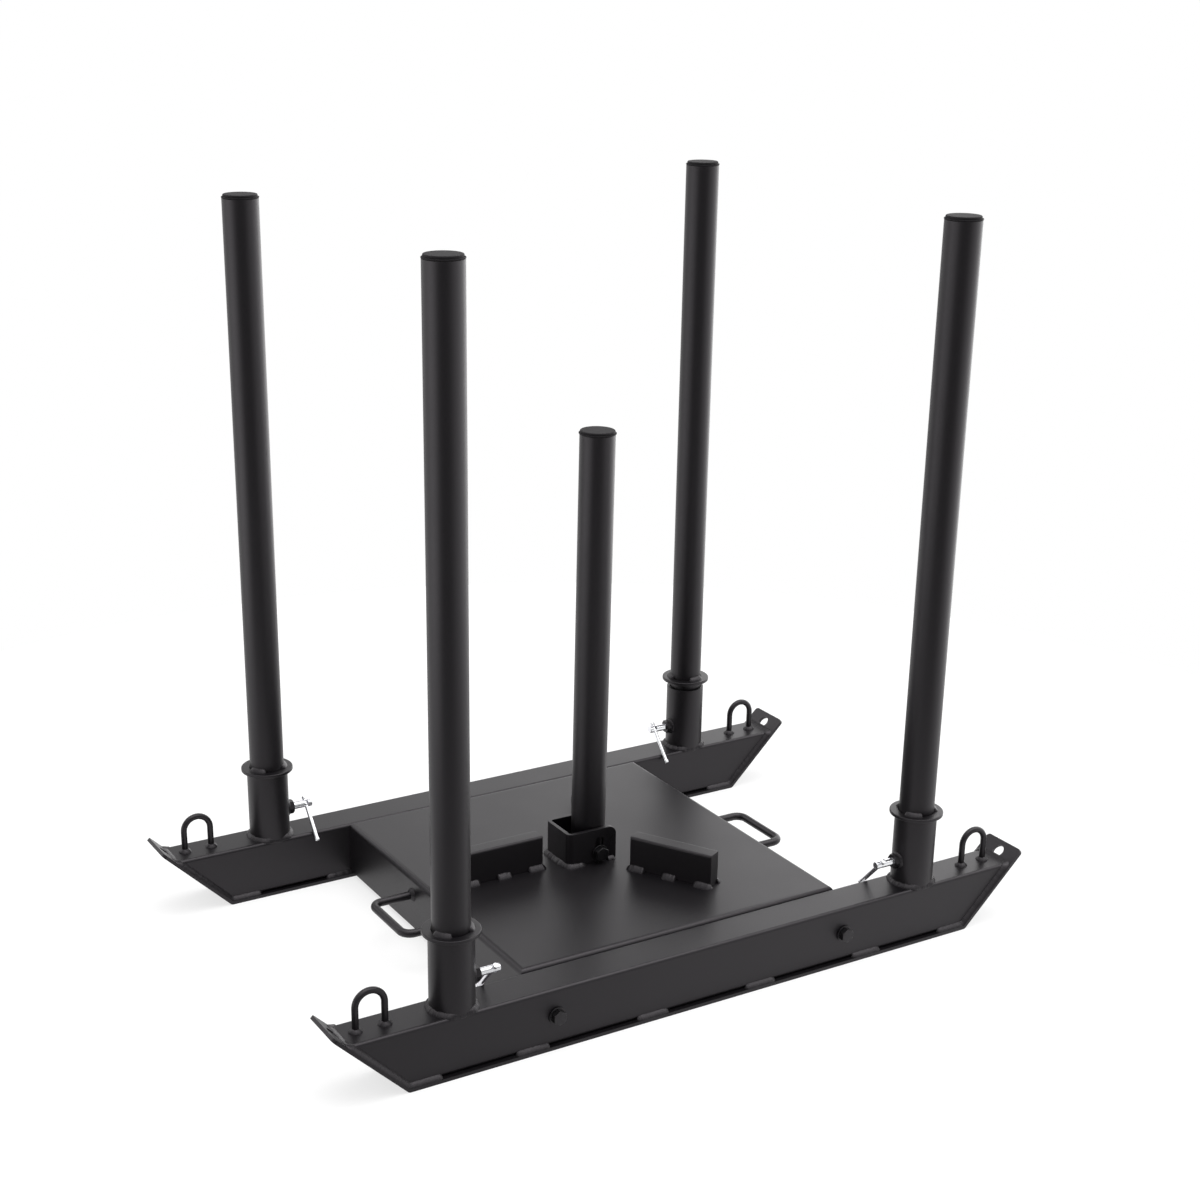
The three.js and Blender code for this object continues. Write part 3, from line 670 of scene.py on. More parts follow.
class Swept:
    """A geometry tree that gives paths their round section."""

    def __init__(self, name: str, **defaults: float) -> None:
        """Starts a tree and adds its inputs.

        Args:
            name: the tree's name.
            defaults: its named numbers, with underscores for spaces.
        """
        self.tree = bpy.data.node_groups.new(name, "GeometryNodeTree")
        self.graph = Graph(self.tree)
        self.names: dict[str, str] = {}
        self._socket("Paths", "NodeSocketGeometry")
        for key, default in defaults.items():
            kind = "NodeSocketInt" if isinstance(default, int) else "NodeSocketFloat"
            self._socket(key.replace("_", " "), kind).default_value = default
        self._socket("Finish", "NodeSocketMaterial")
        self._socket("Result", "NodeSocketGeometry", "OUTPUT")

    def _socket(self, name: str, kind: str, way: str = "INPUT") -> bpy.types.NodeTreeInterfaceSocket:
        """Adds an input or output to the tree and keeps its identifier."""
        socket = self.tree.interface.new_socket(name=name, in_out=way, socket_type=kind)
        self.names[name] = socket.identifier
        return socket

    def given(self, name: str) -> Value:
        """Reads one of the tree's inputs."""
        return Value(self.graph, self.graph.node("NodeGroupInput").outputs[name])

    def carried(self, name: str, kind: str = "FLOAT") -> Value:
        """Reads what each point of a path carries."""
        return self.graph.value("GeometryNodeInputNamedAttribute", {"data_type": kind}, {"Name": name},
                                "Attribute")

    def curve(self) -> Value:
        """Reads the paths as curves."""
        return self.graph.value("GeometryNodeMeshToCurve", None, {"Mesh": self.given("Paths")})

    def ring(self, sides: Value | int, radius: Value | float = 1.0) -> Value:
        """Draws a round section."""
        return self.graph.value("GeometryNodeCurvePrimitiveCircle", {"mode": "RADIUS"},
                                {"Resolution": sides, "Radius": radius})

    def finish(self, curve: Value, section: Value, scale: Value | float = 1.0) -> None:
        """Ends the tree: a closed sweep as real geometry, with the material that the tree is given."""
        solid = self.graph.value("GeometryNodeCurveToMesh", None, {
            "Curve": curve, "Profile Curve": section, "Scale": scale, "Fill Caps": True})
        real = self.graph.value("GeometryNodeRealizeInstances", None, {"Geometry": solid})
        dressed = self.graph.value("GeometryNodeSetMaterial", None,
                                   {"Geometry": real, "Material": self.given("Finish")})
        self.graph.node("NodeGroupOutput", None, {"Result": dressed})

    def run(self, paths: Sequence[Path], material: bpy.types.Material, **numbers: float) -> bpy.types.Mesh:
        """Runs the tree on some paths.

        Args:
            paths: the lines to follow.
            material: what the result is dressed in.
            numbers: the tree's named inputs, with underscores for spaces.

        Returns:
            A plain mesh in metres.
        """
        mesh = bpy.data.meshes.new("paths")
        points, edges, radii, shut, ways = [], [], [], [], []
        for path in paths:
            start, count = len(points), len(path.points)
            points += path.points
            edges += [(start + i, start + i + 1) for i in range(count - 1)]
            if path.closed:
                edges.append((start + count - 1, start))
            radii += [path.radius * share for share in path.shares or [1.0] * count]
            shut += [1.0 if path.closed else 0.0] * count
            ways += path.facing or [Z_AXIS] * count
        mesh.from_pydata(points, edges, [])
        for name, values in (("bead_radius", radii), ("bead_closed", shut)):
            layer = mesh.attributes.new(name, "FLOAT", "POINT")
            layer.data.foreach_set("value", values)
        layer = mesh.attributes.new("bead_facing", "FLOAT_VECTOR", "POINT")
        layer.data.foreach_set("vector", [part for way in ways for part in way])
        guide = added("guide", mesh)
        modifier = guide.modifiers.new("swept", "NODES")
        modifier.node_group = self.tree
        modifier[self.names["Finish"]] = material
        for name, value in numbers.items():
            modifier[self.names[name.replace("_", " ")]] = value
        result = evaluated(guide)
        guide.modifiers.remove(modifier)
        bpy.data.objects.remove(guide)
        bpy.data.meshes.remove(mesh)
        result.transform(Matrix.Scale(METRE, 4))
        return result


class BeadTree(Swept):
    """Weld beads: a rippled fillet that swells from its ends."""

    def __init__(self) -> None:
        """Builds the tree."""
        super().__init__("weld_bead", Step=1.2, Ripple=0.03, Ripple_Length=3.2, Waver=0.12, Seed=7.0,
                         Crest=0.74, Sides=12)
        graph = self.graph
        fine = graph.value("GeometryNodeResampleCurve", {"mode": "LENGTH"},
                           {"Curve": self.curve(), "Length": self.given("Step")})
        along = graph.node("GeometryNodeSplineParameter")
        factor, length = Value(graph, along.outputs["Factor"]), Value(graph, along.outputs["Length"])
        closed = self.carried("bead_closed")
        spread = factor * 2.0 - 1.0
        swell = (1.0 - spread ** 8.0) ** 0.5
        taper = closed + (1.0 - closed) * swell
        ripple = graph.value("ShaderNodeMath", {"operation": "SINE"},
                             {0: length * (2 * math.pi) / self.given("Ripple Length")})
        place = graph.value("GeometryNodeInputPosition")
        shifted = graph.value("ShaderNodeVectorMath", {"operation": "ADD"}, {0: place, 1: self.given("Seed")})
        noise = graph.value("ShaderNodeTexNoise", {"noise_dimensions": "3D"},
                            {"Vector": shifted, "Scale": 0.16, "Detail": 2.0})
        change = ripple * self.given("Ripple") + (noise - 0.5) * self.given("Waver") * 2.0 + 1.0
        facing = self.carried("bead_facing", "FLOAT_VECTOR")
        tangent = graph.value("GeometryNodeInputTangent")
        stray = graph.value("ShaderNodeVectorMath", {"operation": "PROJECT"}, {0: facing, 1: tangent})
        square = graph.value("ShaderNodeVectorMath", {"operation": "SUBTRACT"}, {0: facing, 1: stray})
        unit = graph.value("ShaderNodeVectorMath", {"operation": "NORMALIZE"}, {0: square})
        turned = graph.value("GeometryNodeSetCurveNormal", {"mode": "FREE"}, {"Curve": fine, "Normal": unit})
        depth, width, least = 0.24, 0.82, 0.02
        middle = graph.value("ShaderNodeCombineXYZ", None, {"X": self.given("Crest") - depth})
        section = graph.value("GeometryNodeTransform", None, {
            "Geometry": self.ring(self.given("Sides")), "Translation": middle, "Scale": (depth, width, 1.0)})
        self.finish(turned, section, self.carried("bead_radius") * taper * change + least)


class RodTree(Swept):
    """A bent rod of even section."""

    def __init__(self) -> None:
        """Builds the tree."""
        super().__init__("bent_rod", Sides=ROD_SIDES)
        self.finish(self.curve(), self.ring(self.given("Sides")), self.carried("bead_radius"))


class ThreadTree(Swept):
    """A screw thread: a sharp ridge wound round a core."""

    def __init__(self) -> None:
        """Builds the tree."""
        super().__init__("screw_thread", Radius=5.0, Pitch=1.75, Length=10.0)
        pitch, length = self.given("Pitch"), self.given("Length")
        ridge = pitch * 0.45
        root = self.given("Radius") - ridge
        spiral = self.graph.value("GeometryNodeCurveSpiral", None, {
            "Resolution": 28, "Rotations": length / pitch, "Start Radius": root, "End Radius": root,
            "Height": length})
        self.finish(spiral, self.ring(4, ridge))

    def form(self, material: bpy.types.Material, diameter: float, pitch: float, length: float) -> Form:
        """Winds a thread round a core of some diameter and gives it as a form."""
        ridge = self.run([], material, Radius=diameter / 2, Pitch=pitch, Length=length)
        ridge.transform(Matrix.Scale(1 / METRE, 4))
        form = Form.from_mesh(ridge)
        bpy.data.meshes.remove(ridge)
        return form


def circle_path(centre: Sequence[float], across: Vector, up: Vector, radius: float, bead: float,
                start: float = 0.0, end: float = 360.0) -> Path:
    """Draws the path of a bead round a rod, or round a part of it.

    Args:
        centre: the circle's middle.
        across: the direction of zero degrees.
        up: the direction of ninety degrees.
        radius: the circle's radius.
        bead: the leg of the bead that follows it.
        start: the first angle in degrees.
        end: the last angle in degrees.

    Returns:
        The path, closed where it goes all the way round.
    """
    whole = end - start >= 360
    steps = max(6, int((end - start) / 6))
    angles = [math.radians(start + (end - start) * i / steps) for i in range(steps + (0 if whole else 1))]
    ways = [across * math.cos(a) + up * math.sin(a) for a in angles]
    return Path([Vector(centre) + way * radius for way in ways], bead, whole,
                [way + across.cross(up) for way in ways])


def foot_path(points: Sequence[Point], level: float, bead: float) -> Path:
    """Draws the path of a bead on a level face, at the foot of walls that lie to the left of it."""
    spots = [Vector((u, v, level)) for u, v in points]
    last = len(spots) - 1
    steps = [(spots[min(i + 1, last)] - spots[max(i - 1, 0)]).normalized() for i in range(last + 1)]
    return Path(spots, bead, facing=[Vector((step.y, -step.x, 1)) for step in steps])


# Sub-assemblies


@dataclass(frozen=True)
class BoltPattern:
    """Where the side bolts go through the runners and the tray."""

    spread: float = 467.0
    shift: float = -3.0
    height: float = 47.0
    hole: float = 13.0

    def drills(self, reach: float) -> list[Form]:
        """Makes the drills of both holes, as long as the reach to both sides."""
        drill = rod(self.hole, -reach, reach).placed(ALONG_X)
        return [drill.moved(y=end.value * self.spread / 2 + self.shift, z=self.height) for end in End]


@dataclass
class Runner:
    """One runner: a bent skid plate with a box-section tube welded on it."""

    side: Side
    spacing: float = RUNNER_SPACING
    flat_length: float = 905.0
    ramp_length: float = 143.0
    slope: float = math.radians(45)
    plate_width: float = 72.0
    plate: float = 5.0
    bend: float = 2.0
    tip_corner: float = 6.0
    tow_hole: float = 19.0
    tow_inset: float = 17.0
    edge: float = 0.7
    width: float = 60.0
    height: float = 80.0
    wall: float = 3.0
    corner: float = 5.0
    pattern: BoltPattern = BoltPattern()
    bead: float = 6.3
    ramp_bead: float = 6.6
    stitch: float = 51.0
    stitches: tuple[float, ...] = (-428.0, -272.0, -88.0, 88.0, 272.0, 428.0)
    run_on: float = 26.0

    @property
    def centre(self) -> float:
        """The runner's place across the sled."""
        return self.side.value * self.spacing / 2

    @property
    def base(self) -> float:
        """The height of the tube's underside."""
        return self.plate + FIT_GAP

    @property
    def top(self) -> float:
        """The height of the tube's upper face."""
        return self.base + self.height

    def ramp_place(self, offset: float, level: float) -> float:
        """Tells how far out a line at some height above the ramp's underside crosses a level."""
        along = (level - offset * math.cos(self.slope)) / math.tan(self.slope)
        return self.flat_length / 2 - offset * math.sin(self.slope) + along

    def plate_form(self) -> Form:
        """Makes the bent plate with its round tip corners and tow holes."""
        outer = self.bend + self.plate
        bend = self.flat_length / 2 - outer * math.tan(self.slope / 2)
        tip = self.flat_length / 2 + self.ramp_length * math.cos(self.slope)
        tip_height = self.ramp_length * math.sin(self.slope)
        back = self.plate * math.sin(self.slope)
        degrees = math.degrees(self.slope)
        half = [
            *arc(bend, outer, outer, -90, -90 + degrees),
            (tip, tip_height),
            (tip - back, tip_height + self.plate * math.cos(self.slope)),
            *arc(bend, outer, self.bend, -90 + degrees, -90),
        ]
        outline = half + [(-u, v) for u, v in reversed(half)]
        blank = Form.prism(outline, -self.plate_width / 2, self.plate_width / 2, SIDE_VIEW)
        tools = [tool.placed(turn) for tool in self._tip_tools(tip, tip_height)
                 for turn in (UPRIGHT, HALF_TURN)]
        return blank.cut(*tools).eased(self.edge)

    def _tip_tools(self, tip: float, tip_height: float) -> list[Form]:
        """Makes the tools that round the tip's corners and drill its hole."""
        half, radius = self.plate_width / 2, self.tip_corner
        ramp = basis((1, 0, 0), (0, math.cos(self.slope), math.sin(self.slope)),
                     (0, -math.sin(self.slope), math.cos(self.slope)), (0, tip, tip_height))
        tools = [rod(self.tow_hole, -4, self.plate + 4).moved(y=-self.tow_inset).placed(ramp)]
        for sign in (1, -1):
            curve = arc(half - radius, -radius, radius, 0, 90)
            corner = [(half + 2, 2), (half - radius, 2), *reversed(curve), (half + 2, -radius)]
            outline = [(sign * u, v) for u, v in corner]
            tools.append(Form.prism(outline, -4, self.plate + 4).turned_out().placed(ramp))
        return tools

    def tube_form(self) -> Form:
        """Makes the box section with both ends cut along the ramp."""
        half = self.width / 2
        outer = rounded_box(-half, self.base, half, self.top, self.corner)
        inside = half - self.wall
        inner = rounded_box(-inside, self.base + self.wall, inside, self.top - self.wall,
                            self.corner - self.wall)
        points: list[tuple[float, float, float]] = []
        for ring in (outer, inner):
            for sign in (-1, 1):
                points += [(u, sign * self.ramp_place(self.base, v), v) for u, v in ring]
        count = len(outer)
        faces = []
        for i in range(count):
            j = (i + 1) % count
            faces.append((i, count + i, count + j, j))
            faces.append((2 * count + i, 2 * count + j, 3 * count + j, 3 * count + i))
            faces.append((i, j, 2 * count + j, 2 * count + i))
            faces.append((count + i, 3 * count + i, 3 * count + j, count + j))
        return Form(points, faces).turned_out().cut(*self.pattern.drills(self.width))

    def welds(self) -> list[Path]:
        """Draws the beads at both ramps and the stitches along both bottom edges."""
        paths = [self._ramp_bead(end) for end in (-1, 1)]
        for sign in (-1, 1):
            across = self.centre + sign * self.width / 2
            for middle in self.stitches:
                ends = [Vector((across, middle + k * self.stitch / 2, self.plate)) for k in (-1, 1)]
                paths.append(Path(ends, self.bead, facing=[Vector((sign, 0, 1))] * 2))
        return paths

    def _ramp_bead(self, end: int) -> Path:
        """Draws one bead: up one side of a ramp, across the tube's end and down the other side."""
        half, plate = self.width / 2, self.plate
        lean = Vector((0, -math.sin(self.slope), math.cos(self.slope)))
        foot = self.ramp_place(plate, plate)
        head = self.top - self.corner
        crest = self.ramp_place(plate, self.top)
        out = -X_AXIS
        rows = [((-half, foot - self.run_on, plate), out + Z_AXIS), ((-half, foot - 3, plate), out + Z_AXIS),
                ((-half, foot + 2, plate + 2), out + lean),
                ((-half, self.ramp_place(plate, head), head), out + lean),
                ((-half + 2.4, crest - 1.0, self.top - 2.6), out * 0.7 + lean + Z_AXIS * 0.7),
                ((-half + 7.0, crest + 1.0, self.top - 2.6), lean + Z_AXIS)]
        whole = rows + [((-u, v, w), Vector((-way.x, way.y, way.z))) for (u, v, w), way in reversed(rows)]
        return Path([Vector((self.centre + u, end * v, w)) for (u, v, w), _ in whole], self.ramp_bead,
                    facing=[Vector((way.x, end * way.y, way.z)) for _, way in whole])

    def build(self, shop: Workshop) -> None:
        """Makes the runner's two pieces."""
        label = self.side.label
        place = Matrix.Translation((self.centre, 0, 0))
        shop.piece(f"bent_skid_{label}", self.plate_form().placed(place), SKID_COAT, ROOT,
                   [f"skid_plate_{label}"])
        shop.piece(f"box_rail_{label}", self.tube_form().placed(place), POWDER_COAT, ROOT,
                   [f"runner_tube_{label}"])


@dataclass
class WeightTray:
    """The folded tray between the runners."""

    width: float = 535.4
    length: float = 512.0
    top: float = TRAY_TOP
    depth: float = 80.0
    sheet: float = 3.0
    bend: float = 5.0
    pattern: BoltPattern = BoltPattern()

    def _domed(self, inset: float, low: float, top: float, radius: float) -> Form:
        """Makes a block with its four upper edges rounded."""
        half, end = self.width / 2 - inset, self.length / 2 - inset
        front = Form.prism(rounded_box(-half, low, half, top, radius, lower=False), -end, end, END_VIEW)
        side = Form.prism(rounded_box(-end, low, end, top, radius, lower=False), -half - 20, half + 20,
                          SIDE_VIEW)
        return front.kept(side)

    def build(self, shop: Workshop) -> None:
        """Makes the tray."""
        low = self.top - self.depth
        outside = self._domed(0, low, self.top, self.bend + self.sheet)
        inside = self._domed(self.sheet, low - 6, self.top - self.sheet, self.bend)
        tray = outside.cut(inside, *self.pattern.drills(self.width))
        shop.piece("folded_tray", tray, POWDER_COAT, ROOT, ["weight_tray"])


@dataclass
class BoltSet:
    """A hexagon bolt with its washer and nut. The bolt lies along +X, with its head outside."""

    diameter: float
    across: float
    head: float
    washer: float
    washer_thickness: float
    nut: float
    tail: float
    grip_out: float
    grip_in: float
    pitch: float = 1.75
    thread_start: float = 6.0
    point: float = 0.8
    face_share: float = 0.95

    def forms(self, threads: ThreadTree, material: bpy.types.Material) -> dict[str, Form]:
        """Makes the three pieces.

        Args:
            threads: the tree that winds the thread.
            material: the finish of the thread while it is made.

        Returns:
            The forms of bolt, washer and nut, placed along X.
        """
        face = self.grip_out + FIT_GAP
        seat = face + self.washer_thickness + FIT_GAP
        back = -self.grip_in - FIT_GAP
        tip = back - self.nut - self.tail
        head = hexagon(self.across, 0, self.head, False).eased(0.35, 2, 40)
        collar = rod(self.across * self.face_share, -0.01, 0.6)
        shank = rod(self.diameter - 0.4, tip - seat, 1.0, self.point)
        length = self.tail + self.nut + self.thread_start
        wound = threads.form(material, self.diameter, self.pitch, length).moved(z=tip - seat + self.point)
        bolt = head.joined(collar, shank, wound).placed(ALONG_X).moved(x=seat)
        ring = tube(self.washer, self.diameter + 1, 0, self.washer_thickness, 0.4, BOLT_SIDES)
        nut = hex_nut(self.across, self.nut, self.diameter)
        return {"bolt": bolt, "washer": ring.placed(ALONG_X).moved(x=face),
                "nut": nut.placed(ALONG_X).moved(x=back - self.nut)}


@dataclass
class SideBolts:
    """The four bolts that hold the tray between the runners."""

    spacing: float = RUNNER_SPACING
    pattern: BoltPattern = BoltPattern()
    bolts: BoltSet = field(default_factory=lambda: BoltSet(12, 18, 7.5, 24, 2.5, 10, 4, 30, 33.3))

    def build(self, shop: Workshop, threads: ThreadTree) -> None:
        """Makes the bolts, washers and nuts."""
        forms = self.bolts.forms(threads, shop.material(BLACK_OXIDE))
        pattern = self.pattern
        for corner in CORNERS:
            turn = UPRIGHT if corner.side is Side.RIGHT else HALF_TURN
            place = corner.place(self.spacing, pattern.spread, pattern.height, pattern.shift)
            for word, form in forms.items():
                shop.piece(f"rail_{word}_{corner.label}", form.placed(turn, Matrix.Translation(place)),
                           BLACK_OXIDE, ROOT, [f"side_{word}_{corner.label}"])


@dataclass
class PoleStation:
    """One corner: the sleeve on the runner, and the pole with its collar and plug."""

    corner: Corner
    stitch_angle: float
    spacing: float = RUNNER_SPACING
    spread: float = POLE_SPREAD
    runner_top: float = RUNNER_TOP
    runner_flat: float = 25.0
    runner_corner: float = 5.0
    sleeve: float = 60.0
    sleeve_bore: float = 52.0
    sleeve_length: float = 104.0
    pole: float = 50.0
    wall: float = 3.0
    length: float = 930.0
    insert: float = 100.0
    rise: float = 11.0
    collar: float = 76.0
    collar_thickness: float = 5.0
    clamp_height: float = 36.5
    screw_hole: float = 11.6
    sleeve_edge: float = 0.6
    pole_edge: float = 0.5
    collar_edge: float = 1.1
    ring_bead: float = 6.0
    ring_stitch: float = 58.0
    sleeve_leg: float = 5.5
    nut_leg: float = 3.2
    nut_reach: float = 9.8

    @property
    def place(self) -> Vector:
        """The pole axis's foot on the ground."""
        return self.corner.place(self.spacing, self.spread)

    @property
    def collar_base(self) -> float:
        """The height of the collar's underside."""
        lifted = self.rise if self.corner == Corner(End.REAR, Side.LEFT) else 0.0
        return self.runner_top + FIT_GAP + self.sleeve_length + FIT_GAP + lifted

    def sleeve_form(self) -> Form:
        """Makes the sleeve with its screw hole, which faces the middle of the sled."""
        low = self.runner_top + FIT_GAP
        blank = tube(self.sleeve, self.sleeve_bore, low, low + self.sleeve_length, self.sleeve_edge)
        drill = rod(self.screw_hole, 0, self.sleeve).placed(ALONG_Y)
        hole = drill.moved(z=self.runner_top + self.clamp_height)
        return blank.cut(hole.placed(self.corner.turn)).placed(Matrix.Translation(self.place))

    def build(self, shop: Workshop, plug: "TubePlug", beads: "BeadTree") -> None:
        """Makes the sleeve, the pole, the collar, the plug and the stitches on the collar."""
        place, label = Matrix.Translation(self.place), self.corner.label
        body = f"push_pole_{label}"
        base = self.collar_base
        foot = base - self.insert
        shop.piece(f"clamp_sleeve_{label}", self.sleeve_form(), POWDER_COAT, ROOT, [f"pole_sleeve_{label}"])
        upright = tube(self.pole, self.pole - 2 * self.wall, foot, foot + self.length, self.pole_edge)
        shop.piece(f"upright_{label}", upright.placed(place), POWDER_COAT, body, [f"pole_{label}"])
        top = base + self.collar_thickness
        ring = tube(self.collar, self.pole + 2 * FIT_GAP, base, top, self.collar_edge)
        shop.piece(f"stop_ring_{label}", ring.placed(place), POWDER_COAT, body, [f"pole_collar_{label}"])
        cap = plug.form().moved(z=foot + self.length + FIT_GAP).placed(place)
        shop.piece(f"end_plug_{label}", cap, MOULDED_PLASTIC, body, [f"pole_cap_{label}"])
        centre = self.place + Z_AXIS * top
        half = self.ring_stitch / 2
        middles = (self.stitch_angle, self.stitch_angle + 120, self.stitch_angle + 240)
        stitches = [circle_path(centre, X_AXIS, Y_AXIS, self.pole / 2, self.ring_bead, middle - half,
                                middle + half) for middle in middles]
        mesh = beads.run(stitches, shop.material(WELD_COAT_PAINTED_HIGHLIGHT), Seed=self.stitch_angle)
        shop.piece(f"collar_welds_{label}", mesh, WELD_COAT_PAINTED_HIGHLIGHT, body, angle=WELD_ANGLE)

    def sleeve_bead(self) -> Path:
        """Draws the bead round the sleeve's base, which dips over the runner's round edges."""
        points, facing, shares = [], [], []
        radius, leg = self.sleeve / 2, self.sleeve_leg
        for i in range(72):
            angle = 2 * math.pi * i / 72
            way = X_AXIS * math.cos(angle) + Y_AXIS * math.sin(angle)
            beyond = min(max(abs(way.x) * radius - self.runner_flat, 0.0), self.runner_corner - 0.4)
            drop = self.runner_corner - math.sqrt(self.runner_corner ** 2 - beyond ** 2)
            side = beyond / self.runner_corner
            points.append(self.place + way * (radius - 0.45 * leg * side)
                          + Z_AXIS * (self.runner_top - 0.6 * drop))
            facing.append(way + Z_AXIS * (1 - side))
            shares.append(1 - 0.35 * side)
        return Path(points, leg, True, facing, shares)

    def nut_bead(self) -> Path:
        """Draws the bead where the clamp nut meets the round sleeve."""
        points, facing = [], []
        inward, reach = -self.corner.end.value, self.nut_reach
        height = self.runner_top + self.clamp_height
        for i in range(40):
            angle = 2 * math.pi * i / 40
            way = X_AXIS * math.cos(angle) + Z_AXIS * math.sin(angle)
            out = math.sqrt((self.sleeve / 2) ** 2 - (reach * way.x) ** 2)
            points.append(self.place + way * reach + Y_AXIS * (inward * out) + Z_AXIS * height)
            facing.append(way + Y_AXIS * inward)
        return Path(points, self.nut_leg, True, facing)


@dataclass
class TubePlug:
    """The plastic plug in a tube's top. Zero is the underside of its rim."""

    overhang: float
    head: float
    tube: float = 50.0
    wall: float = 3.0
    rim: float = 1.5
    height: float = 3.5
    edge: float = 1.5
    ease: float = 0.4
    plug: float = 22.0
    skin: float = 2.0

    def form(self) -> Form:
        """Makes the plug with its softly rounded head."""
        inner = self.tube / 2 - self.wall - FIT_GAP
        rim = self.tube / 2 + self.overhang
        head = self.head / 2
        top = self.rim + self.height
        ease = self.ease
        profile = [
            (0, top - self.skin),
            (inner - self.skin, top - self.skin),
            (inner - self.skin, -self.plug),
            (inner, -self.plug),
            (inner, 0),
            *arc(rim - ease, ease, ease, -90, 0, 3),
            *arc(rim - ease, self.rim - ease, ease, 0, 90, 3),
            (head, self.rim),
            *arc(head - self.edge, top - self.edge, self.edge, 0, 80, 6),
            (head * 0.6, top - 0.02),
            (0, top),
        ]
        return Form.turned(profile)


@dataclass
class Clamp:
    """A clamp at one corner: weld nut, bright screw and the loose bar through its end."""

    corner: Corner
    spacing: float = RUNNER_SPACING
    spread: float = POLE_SPREAD
    height: float = 121.8
    sleeve: float = 60.0
    pole: float = 50.0
    nut_across: float = 19.0
    nut: float = 8.0
    screw: float = 11.0
    overhang: float = 30.0
    hole_inset: float = 9.0
    bar: float = 6.0
    bar_length: float = 73.0
    knob: float = 7.5
    knob_length: float = 5.5
    lean: float = math.radians(41.83106)
    pitch: float = 1.75
    edge: float = 0.9
    point: float = 0.8
    knob_edge: float = 1.3

    @property
    def screw_end(self) -> float:
        """How far the screw's end lies from the pole's axis."""
        return self.sleeve / 2 + FIT_GAP + self.nut + self.overhang

    def place(self) -> list[Matrix]:
        """Gives the turns that bring a piece drawn along +Z to the screw's axis and lean."""
        corner = self.corner
        lean = Matrix.Rotation(-corner.side.value * corner.end.value * self.lean, 4, "Y")
        return [lean, corner.turn, Matrix.Translation(corner.place(self.spacing, self.spread, self.height))]

    def screw_form(self, shop: Workshop, threads: ThreadTree) -> Form:
        """Makes the screw: a plain head with a cross hole and a threaded shank."""
        start = self.pole / 2 + FIT_GAP
        hole_place = self.screw_end - self.hole_inset
        neck = self.screw_end - self.overhang
        plain = rod(self.screw, neck, self.screw_end, self.edge, 64)
        drill = rod(self.bar + 2 * FIT_GAP, -self.screw, self.screw)
        cross = drill.placed(basis((0, 0, 1), (0, 1, 0), (-1, 0, 0))).moved(z=hole_place)
        plain = plain.cut(cross)
        core = rod(self.screw - 1.5, start, neck + 0.5, self.point, 40)
        wound = threads.form(shop.material(BRIGHT_ZINC), self.screw, self.pitch, neck - start - 1.2)
        return plain.joined(core, wound.moved(z=start + self.edge))

    def bar_form(self) -> Form:
        """Makes the bar with its two upset knobs. Zero is on the screw's axis."""
        radius, knob = self.bar / 2, self.knob / 2
        top = self.screw / 2 + FIT_GAP + self.knob_length
        bottom = top - self.bar_length
        edge = self.knob_edge
        lower = [
            (0, bottom),
            *arc(knob - edge, bottom + edge, edge, -90, 0, 4),
            *arc(knob - edge, bottom + self.knob_length - edge, edge, 0, 62, 4),
            (radius, bottom + self.knob_length),
        ]
        upper = [(u, top + bottom - v) for u, v in reversed(lower)]
        return Form.turned(lower + upper, 32)

    def build(self, shop: Workshop, threads: ThreadTree) -> None:
        """Makes the clamp's three pieces."""
        places, label = self.place(), self.corner.label
        nut = hex_nut(self.nut_across, self.nut, self.screw)
        nut = nut.moved(z=self.sleeve / 2 + FIT_GAP).placed(ALONG_Y, *places[1:])
        shop.piece(f"weld_nut_{label}", nut, BLACK_OXIDE, ROOT, [f"clamp_nut_{label}"])
        screw = self.screw_form(shop, threads).placed(ALONG_Y, *places)
        shop.piece(f"clamp_stem_{label}", screw, BRIGHT_ZINC, f"screw_{label}", [f"clamp_screw_{label}"])
        bar = self.bar_form().moved(y=self.screw_end - self.hole_inset).placed(*places)
        shop.piece(f"cross_bar_{label}", bar, BRIGHT_ZINC, f"bar_{label}", [f"tommy_bar_{label}"])


